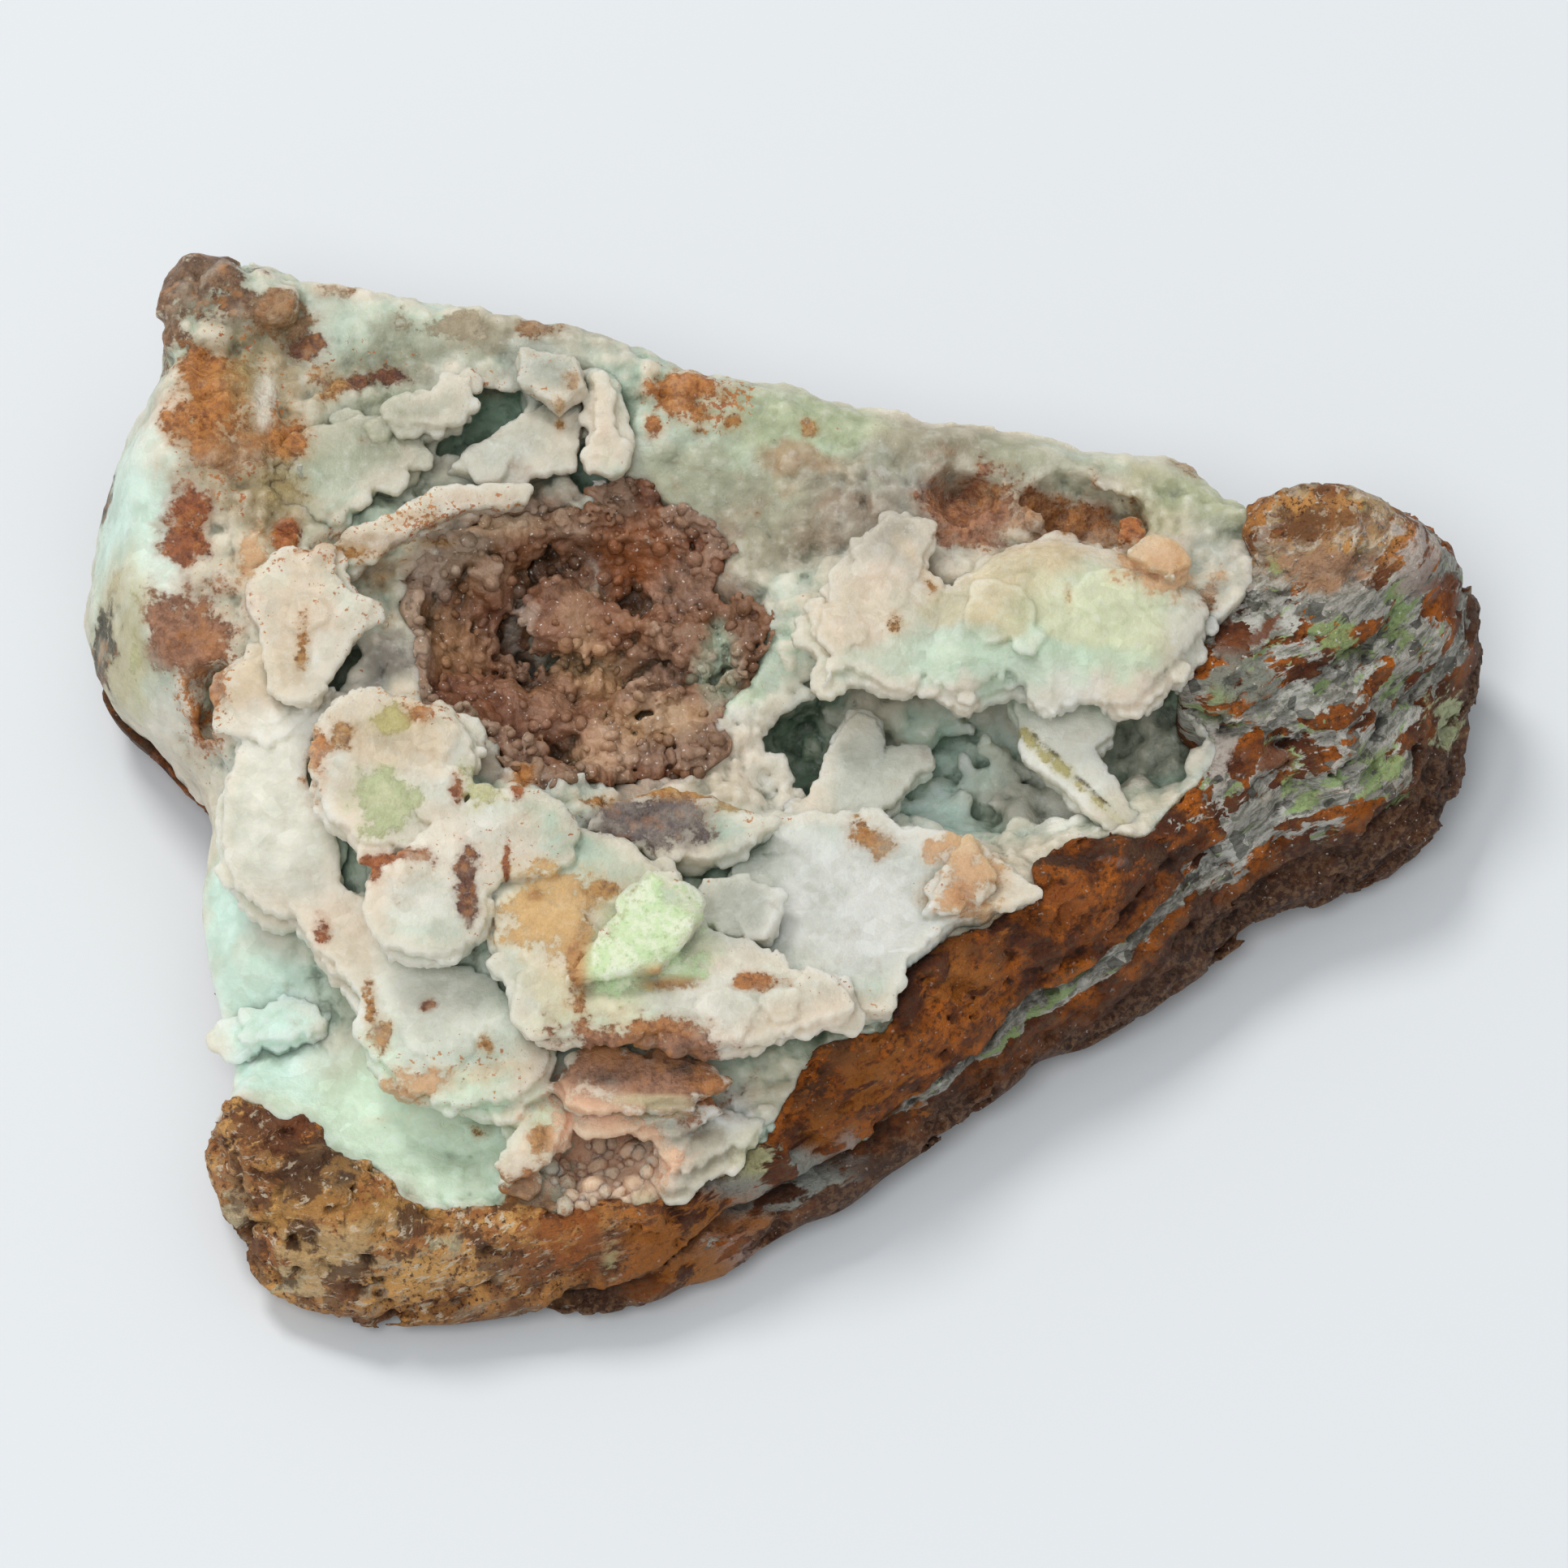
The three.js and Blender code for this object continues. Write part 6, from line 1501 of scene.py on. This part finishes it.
# %% A material under construction
class Paint:
    """A material whose nodes are added one by one, and its shader."""

    def __init__(self, name):
        self.material = bpy.data.materials.new(name)
        self.material.use_nodes = True
        self.tree = self.material.node_tree
        self.shader = self.tree.nodes["Principled BSDF"]

    def node(self, kind, settings, values, output=0):
        made = self.tree.nodes.new(kind)
        for name, value in settings.items():
            setattr(made, name, value)
        for name, value in values.items():
            self.plug(self.socket_of(made.inputs, name), value)
        return Wire(self, self.socket_of(made.outputs, output))

    def socket_of(self, sockets, name):
        if isinstance(name, int):
            return sockets[name]
        return [s for s in sockets if name in (s.identifier, s.name)][0]

    def plug(self, socket, value):
        if isinstance(value, Wire):
            self.tree.links.new(value.socket, socket)
        else:
            socket.default_value = value

    def set(self, **values):
        for name, value in values.items():
            self.plug(self.shader.inputs[name.replace("_", " ")], value)

    def attribute(self, name, output="Fac"):
        return self.node("ShaderNodeAttribute", {"attribute_name": name}, {}, output)

    def place(self):
        """Object coordinates in millimetres."""
        coordinates = self.node("ShaderNodeTexCoord", {}, {}, "Object")
        return self.node("ShaderNodeVectorMath", {"operation": "SCALE"},
                         {"Vector": coordinates, "Scale": 1 / MM})

    def noise(self, size, detail=2.0, place=None, rough=0.5, distortion=0.0):
        return self.node("ShaderNodeTexNoise", {}, {
            "Vector": place or self.place(), "Scale": 1 / size, "Detail": detail,
            "Roughness": rough, "Distortion": distortion})

    def part(self, colour, name):
        return self.node("ShaderNodeSeparateColor", {}, {"Color": colour}, name)

    def dot(self, first, second):
        return self.node("ShaderNodeVectorMath", {"operation": "DOT_PRODUCT"},
                         {0: first, 1: second}, "Value")

    def cells(self, size, place=None):
        """Side by side round cells: height of each dome, and a random share of its own."""
        made = self.node("ShaderNodeTexVoronoi", {"feature": "F1"},
                         {"Vector": place or self.place(), "Scale": 1 / size}, "Distance")
        return 1 - made * made, self.part(Wire(self, made.socket.node.outputs["Color"]), "Red")

    def mixed(self, share, first, second, blend="MIX"):
        values = {"Factor_Float": share}
        for name, colour in (("A_Color", first), ("B_Color", second)):
            values[name] = colour if isinstance(colour, Wire) else (*linear(colour), 1)
        return self.node("ShaderNodeMix", {"data_type": "RGBA", "blend_type": blend}, values,
                         "Result_Color")

    def layered(self, colour, *layers):
        """Colours laid over a first one: share, colour and way of blending of each."""
        for share, over, *blend in layers:
            colour = self.mixed(share, colour, over, *blend)
        return colour

    def bump(self, height, distance, strength=1.0):
        return self.node("ShaderNodeBump", {}, {
            "Height": height, "Distance": distance * MM, "Strength": strength}, "Normal")

# %% [markdown]
# Smithsonite is waxy: light enters it and comes out softened a millimetre or two away. That is a
# subsurface share on the shader. Its surface has a fine sugary grain, creases darkened as painted
# shade, edges paled as a painted highlight, and grains of rust that gather on edges.

# %% The waxy crust and the lining
def patch_mask(cover, broken, fine):
    """1 where a patch covers: its soft cover, broken up by two patterns, with a crisp edge."""
    return (cover + 1.8 * (broken - 0.5) + 0.55 * (fine - 0.5)).step(0.40, 0.58)


MUTED = (198, 202, 190)
# colour of the painted shade in creases
CREASE_SHADE_GREEN = (112, 126, 104)


def waxy(name, softness, gloss, rust_share, tint, glint_share, tip, edge_light_share, grain_share):
    """Waxy, sugary mineral with its coat, patches, rust specks and glints, painted shade in creases and
    a painted highlight on edges.
    """
    paint = Paint(name)
    coat = paint.attribute("coat", "Color")
    rust, edge, crease_shade, cover = (paint.attribute(n) for n in ("rust", "edge", "crease_shade", "cover"))
    clouds = paint.noise(3.4, 5.0, rough=0.6)
    mottled = paint.noise(0.9, 4.0, rough=0.6)
    dome, own = paint.cells(1.0)
    small_dome, small_own = paint.cells(0.5)
    wide_clouds = paint.noise(8.0, 4.0, rough=0.6)
    fine = paint.noise(0.42, 3.0, rough=0.65)
    broken = paint.noise(2.4, 6.0, rough=0.64)
    patch = patch_mask(cover, broken, fine)
    specks = (fine + 0.30 * clouds + rust_share * rust + 0.07 * edge).step(1.0, 1.06)
    specks = specks * (1 - 0.8 * patch)
    glints = paint.noise(0.28, 1.0).step(0.70, 0.75)
    plain_patch = paint.attribute("patch", "Color")
    dirt = 1 - paint.part(plain_patch, "Blue").step(0.06, 0.20)  # iron is mottled, pale is clean
    core = paint.part(plain_patch, "Green").step(0.7, 0.8)  # the broken green core is chalky
    patch_colour = paint.layered(
        plain_patch,
        ((0.15 + 0.5 * dirt) * mottled.step(0.44, 0.62), (178, 152, 130), "MULTIPLY"),
        ((0.1 + 0.5 * dirt) * fine.step(0.46, 0.62), (160, 128, 100), "MULTIPLY"),
        (0.5 * dirt * paint.noise(1.4, 3.0, rough=0.6).step(0.5, 0.64), COLOURS["orange"]),
        (0.3 * clouds.step(0.5, 0.7), (244, 232, 208)),
        (0.7 * core * (0.5 * clouds + 0.5 * mottled).step(0.47, 0.56), (244, 248, 226)),
        (0.4 * core * fine.step(0.5, 0.7), (170, 214, 150)))
    rust_colour = paint.mixed(broken.step(0.4, 0.6), COLOURS["rust"], COLOURS["orange"])
    colour = paint.layered(
        coat,
        (0.35 * clouds.step(0.40, 0.62), MUTED, "MULTIPLY"),
        (0.2 * wide_clouds.step(0.46, 0.62), MUTED, "MULTIPLY"),
        (0.25 * mottled.step(0.5, 0.72), tint),
        (grain_share * own, COLOURS["tan"], "MULTIPLY"),
        (0.25 * grain_share * small_own, tip),
        # painted highlight: edges paled toward the tip colour; on the scattered grains this share is a
        # random tint
        (edge_light_share * edge, tip),
        # painted shade: creases darkened to a green grey
        (0.65 * crease_shade, CREASE_SHADE_GREEN, "MULTIPLY"),
        (0.5 * (cover + 1.6 * (broken - 0.5)).step(0.12, 0.62), plain_patch),  # a soft halo
        (0.9 * patch, patch_colour),
        (0.85 * specks, rust_colour),
        (glint_share * glints, (250, 250, 245)))
    sugar = 0.6 * paint.noise(0.3, 3.0, rough=0.6) + 0.4 * mottled
    height = sugar + grain_share * (dome + 0.5 * small_dome) + 1.2 * patch * fine
    paint.set(Base_Color=colour, Roughness=gloss + 0.2 * specks - 0.25 * glints,
              Normal=paint.bump(height, 0.24, 0.8))
    paint.set(Subsurface_Weight=softness, Subsurface_Radius=(1.0, 0.9, 0.75),
              Subsurface_Scale=2.0 * MM, IOR=1.5, Specular_IOR_Level=0.3)
    return paint.material


crust_material = waxy(
    "waxy_smithsonite", softness=0.8, gloss=0.38, rust_share=0.33, tint=COLOURS["cool_white"],
    glint_share=0.15, tip=COLOURS["white"], edge_light_share=0.3, grain_share=0.18)
lining_material = waxy(
    "brown_sugary_lining", softness=0.3, gloss=0.36, rust_share=0.1, tint=COLOURS["orange_brown"],
    glint_share=0.5, tip=COLOURS["pinkish_tan"], edge_light_share=0.12, grain_share=0.6)
print("materials:", crust_material.name, "and", lining_material.name)

# %% [markdown]
# The rock is banded. Rust-brown blocks lie in thin grey-green streaks that follow the layers,
# with streaks of apple green and white. Low down it is dark brown, and the corner at the front
# left is a crumbly brown and ochre.

# %% The banded rock
def banded_rock():
    """Brown blocks in grey and green streaks along the layers, crumbly at the corner."""
    paint = Paint("banded_limonite")
    place = paint.place()
    layer, hard, crease_shade, edge = (paint.attribute(n) for n in ("layer", "hard", "crease_shade", "edge"))
    banded, corner, lowest = (paint.attribute(n) for n in ("banded", "corner", "lowest"))
    along, side = (paint.dot(place, tuple(v)) for v in (layer_along, layer_side))

    def streaky(length, thickness, start):
        return paint.node("ShaderNodeCombineXYZ", {}, {
            "X": along / length + start, "Y": side / length, "Z": layer / thickness})

    blocks = paint.noise(1.0, 4.0, streaky(2.8, 1.1, 3.0), 0.65, 0.3)
    fibres = paint.noise(1.0, 4.0, streaky(1.3, 0.3, 9.0), 0.68)
    bent_place = paint.node("ShaderNodeVectorMath", {"operation": "ADD"}, {
        0: streaky(2.4, 1.3, 5.0), 1: paint.node("ShaderNodeTexNoise", {}, {
            "Vector": place, "Scale": 1 / 1.2, "Detail": 3.0}, "Color")})
    _, block_own = paint.cells(1.0, bent_place)
    fine = paint.noise(0.45, 4.0, rough=0.68)
    wide = paint.noise(3.5, 4.0, rough=0.6)
    dome, own = paint.cells(0.9)
    brown = paint.layered(
        (98, 52, 28), (wide.step(0.42, 0.62), (190, 104, 28)),
        (0.8 * fine.step(0.46, 0.66), (54, 32, 22)),
        (0.4 * fibres.step(0.55, 0.72), (176, 112, 50)),
        (0.6 * blocks.step(0.56, 0.64), (62, 36, 24)))
    green_streaks = paint.noise(1.0, 4.0, streaky(4.0, 0.8, 31.0), 0.6).step(0.57, 0.61)
    grey = paint.layered(
        (144, 144, 130), (fibres.step(0.38, 0.60), (216, 214, 204)),
        (fine.step(0.56, 0.68), (224, 220, 212)),
        (0.7 * own.step(0.78, 0.86), (74, 74, 66)),
        (0.85 * green_streaks, (172, 200, 132)))
    crumbly = paint.layered(
        (184, 120, 68), (wide.step(0.4, 0.6), (244, 190, 116)),
        (fine.step(0.52, 0.62), (92, 56, 38)),
        (0.8 * blocks.step(0.54, 0.60), (222, 194, 156)),
        (0.9 * fibres.step(0.56, 0.62), (238, 222, 196)))
    low_brown = paint.mixed(fine.step(0.44, 0.6), (62, 44, 36), (118, 88, 66))
    patch = patch_mask(paint.attribute("cover"), blocks, fibres)
    patch_colour = paint.mixed(0.4 * fine.step(0.5, 0.66), paint.attribute("patch", "Color"),
                               (130, 100, 72), "MULTIPLY")
    grey_share = (0.6 * blocks + 0.33 * block_own * banded + (0.42 - 0.24 * banded) * (1 - hard)
                  - 0.5 * lowest + 0.05 * banded)
    blotches = paint.noise(2.8, 5.0, rough=0.62)
    rough = paint.noise(0.25, 4.0, rough=0.7)
    glints = paint.noise(0.35, 1.0).step(0.70, 0.75) * wide.step(0.42, 0.56)
    colour = paint.layered(
        brown,
        ((grey_share + 0.3 * (fibres - 0.5)).step(0.49, 0.53), grey),
        (0.35 * block_own.step(0.3, 0.9), (120, 100, 84), "MULTIPLY"),
        (0.9 * corner, crumbly),
        (0.85 * lowest, low_brown),
        (0.9 * patch, patch_colour),
        (0.8 * corner * blotches.step(0.52, 0.58), (88, 56, 40)),
        (0.4 * corner * blotches.step(0.46, 0.38), (232, 176, 104)),
        (0.7 * corner * fibres.step(0.58, 0.63), (234, 214, 184)),
        # painted shade: the rock's creases darkened
        (0.6 * crease_shade, (64, 44, 34), "MULTIPLY"),
        # painted highlight: the rock's edges paled in places
        (0.2 * edge * fine.step(0.4, 0.7), (200, 156, 108)),
        ((0.3 + 0.45 * banded) * glints, (235, 230, 225)))
    paint.set(Base_Color=colour, Roughness=0.32 + 0.4 * fine - 0.2 * glints,
              Normal=paint.bump(rough + 0.8 * fibres + 0.5 * dome + 1.6 * blocks, 0.36, 1.0))
    paint.set(Specular_IOR_Level=0.28)
    return paint.material


rock_material = banded_rock()
print("nodes of the rock's material:", len(rock_material.node_tree.nodes))

# %% [markdown]
# Small round grains crowd in the hollow and in the pocket at the front. There are hundreds, so
# Geometry Nodes scatter one small ball over the surface: more where the surface's own value
# "grainy" is high, only where it faces up, each with its own size, shape and tint.

# %% Scatter small round grains over a surface
LEAST_UPWARD = 0.05  # a grain grows only where the surface faces up by this
BALL_SEGMENTS, BALL_RINGS = 8, 4
BEND_SIZE, BEND, BEND_BACK = 1.1, 0.6, -0.34  # waves that make the balls uneven, in millimetres


def grain_tree():
    tree = bpy.data.node_groups.new("small_round_grains", "GeometryNodeTree")
    sockets = {}
    for name, kind in (("Geometry", "Geometry"), ("Spacing", "Float"), ("Crowding", "Float"),
                       ("Smallest", "Float"), ("Largest", "Float"), ("Seed", "Int"),
                       ("Finish", "Material")):
        sockets[name] = tree.interface.new_socket(
            name, in_out="INPUT", socket_type="NodeSocket" + kind)
    tree.interface.new_socket("Geometry", in_out="OUTPUT", socket_type="NodeSocketGeometry")

    def add(kind, links=(), **settings):
        """A new node with its inputs set or linked; gives its first output."""
        node = tree.nodes.new(kind)
        for name, value in settings.items():
            setattr(node, name, value)
        for name, source in links:
            socket = [s for i, s in enumerate(node.inputs) if s.enabled and name in (i, s.name)][0]
            if isinstance(source, bpy.types.NodeSocket):
                tree.links.new(source, socket)
            else:
                socket.default_value = source
        return next(s for s in node.outputs if s.enabled)

    given = add("NodeGroupInput").node.outputs
    normal = add("ShaderNodeSeparateXYZ", [("Vector", add("GeometryNodeInputNormal"))])
    upward = add("ShaderNodeMath", [(0, normal.node.outputs["Z"]), (1, LEAST_UPWARD)],
                 operation="GREATER_THAN")
    grainy = add("GeometryNodeInputNamedAttribute", [("Name", "grainy")], data_type="FLOAT")
    share = add("ShaderNodeMath", [(0, grainy), (1, upward)], operation="MULTIPLY")
    spots = add("GeometryNodeDistributePointsOnFaces", [
        ("Mesh", given["Geometry"]), ("Distance Min", given["Spacing"]),
        ("Density Max", given["Crowding"]), ("Density Factor", share),
        ("Seed", given["Seed"])], distribute_method="POISSON")
    ball = add("GeometryNodeMeshUVSphere", [
        ("Segments", BALL_SEGMENTS), ("Rings", BALL_RINGS), ("Radius", 1.0)])
    size = add("FunctionNodeRandomValue", [
        ("Min", given["Smallest"]), ("Max", given["Largest"]), ("Seed", given["Seed"])],
        data_type="FLOAT")
    tint = add("FunctionNodeRandomValue", [], data_type="FLOAT")
    tinted = add("GeometryNodeStoreNamedAttribute", [
        ("Geometry", spots), ("Name", "edge"), ("Value", tint)], data_type="FLOAT", domain="POINT")
    stretch = add("FunctionNodeRandomValue", [("Min", (0.7, 0.7, 0.6)), ("Max", (1.2, 1.2, 1.0))],
                  data_type="FLOAT_VECTOR")
    scale = add("ShaderNodeVectorMath", [(0, stretch), ("Scale", size)], operation="SCALE")
    balls = add("GeometryNodeInstanceOnPoints", [
        ("Points", tinted), ("Instance", ball), ("Rotation", spots.node.outputs["Rotation"]),
        ("Scale", scale)])
    real = add("GeometryNodeRealizeInstances", [("Geometry", balls)])
    lumps = add("ShaderNodeTexNoise", [("Scale", 1 / (BEND_SIZE * MM)), ("Detail", 1.0)])
    push = add("ShaderNodeMath", [(0, lumps), (1, BEND * MM), (2, BEND_BACK * MM)],
               operation="MULTIPLY_ADD")
    offset = add("ShaderNodeVectorMath", [
        (0, add("GeometryNodeInputNormal")), ("Scale", push)], operation="SCALE")
    uneven = add("GeometryNodeSetPosition", [("Geometry", real), ("Offset", offset)])
    smooth = add("GeometryNodeSetShadeSmooth", [("Geometry", uneven)])
    painted = add("GeometryNodeSetMaterial", [("Geometry", smooth), ("Material", given["Finish"])])
    tree.links.new(painted, tree.nodes.new("NodeGroupOutput").inputs["Geometry"])
    return tree, {name: socket.identifier for name, socket in sockets.items()}


GRAIN_TREE, GRAIN_SOCKETS = grain_tree()
print("nodes that make the grains:", len(GRAIN_TREE.nodes))


def scatter_grains(name, surface, material, spacing, crowding, smallest, largest, seed):
    """Grains over a surface, as one plain mesh; sizes in millimetres, crowding per square mm."""
    piece = add_to_scene(bpy.data.objects.new(name, surface.data.copy()))
    modifier = piece.modifiers.new("grains", "NODES")
    modifier.node_group = GRAIN_TREE
    for socket, value in (("Spacing", spacing * MM), ("Crowding", crowding / MM ** 2),
                          ("Smallest", smallest * MM), ("Largest", largest * MM),
                          ("Seed", seed), ("Finish", material)):
        modifier[GRAIN_SOCKETS[socket]] = value
    bpy.context.view_layer.update()
    shaped = bpy.data.meshes.new_from_object(
        piece.evaluated_get(bpy.context.evaluated_depsgraph_get()))
    piece.modifiers.clear()
    covered = piece.data
    piece.data = shaped
    bpy.data.meshes.remove(covered)
    print(name, "faces:", len(shaped.polygons))
    return piece


# %% Grains in the hollow and in the front pocket
lining_grains = scatter_grains(
    "druse_grains", lining_piece, lining_material,
    spacing=0.8, crowding=0.7, smallest=0.22, largest=0.7, seed=5)
crust_grains = scatter_grains(
    "crust_grains", ground_piece, crust_material,
    spacing=0.7, crowding=1.6, smallest=0.3, largest=0.95, seed=6)

# %% [markdown]
# Each piece rides on the stone's one body and takes the place of the plain solid of the same
# mineral. The four pieces of crust replace the crust together, because it grew as one.

# %% Set the pieces on the part
def finish(piece, material, slot, *nodes):
    piece.data.materials.clear()
    piece.data.materials.append(material)
    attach(piece, "root")
    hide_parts(*nodes)


for piece in (ground_piece, left_piece, right_piece, crust_grains):
    finish(piece, crust_material, "smithsonite", "smithsonite_crust")
finish(rock_piece, rock_material, "limonite_rock", "limonite_matrix")
for piece in (lining_piece, lining_grains):
    finish(piece, lining_material, "brown_druse", "hollow_druse")
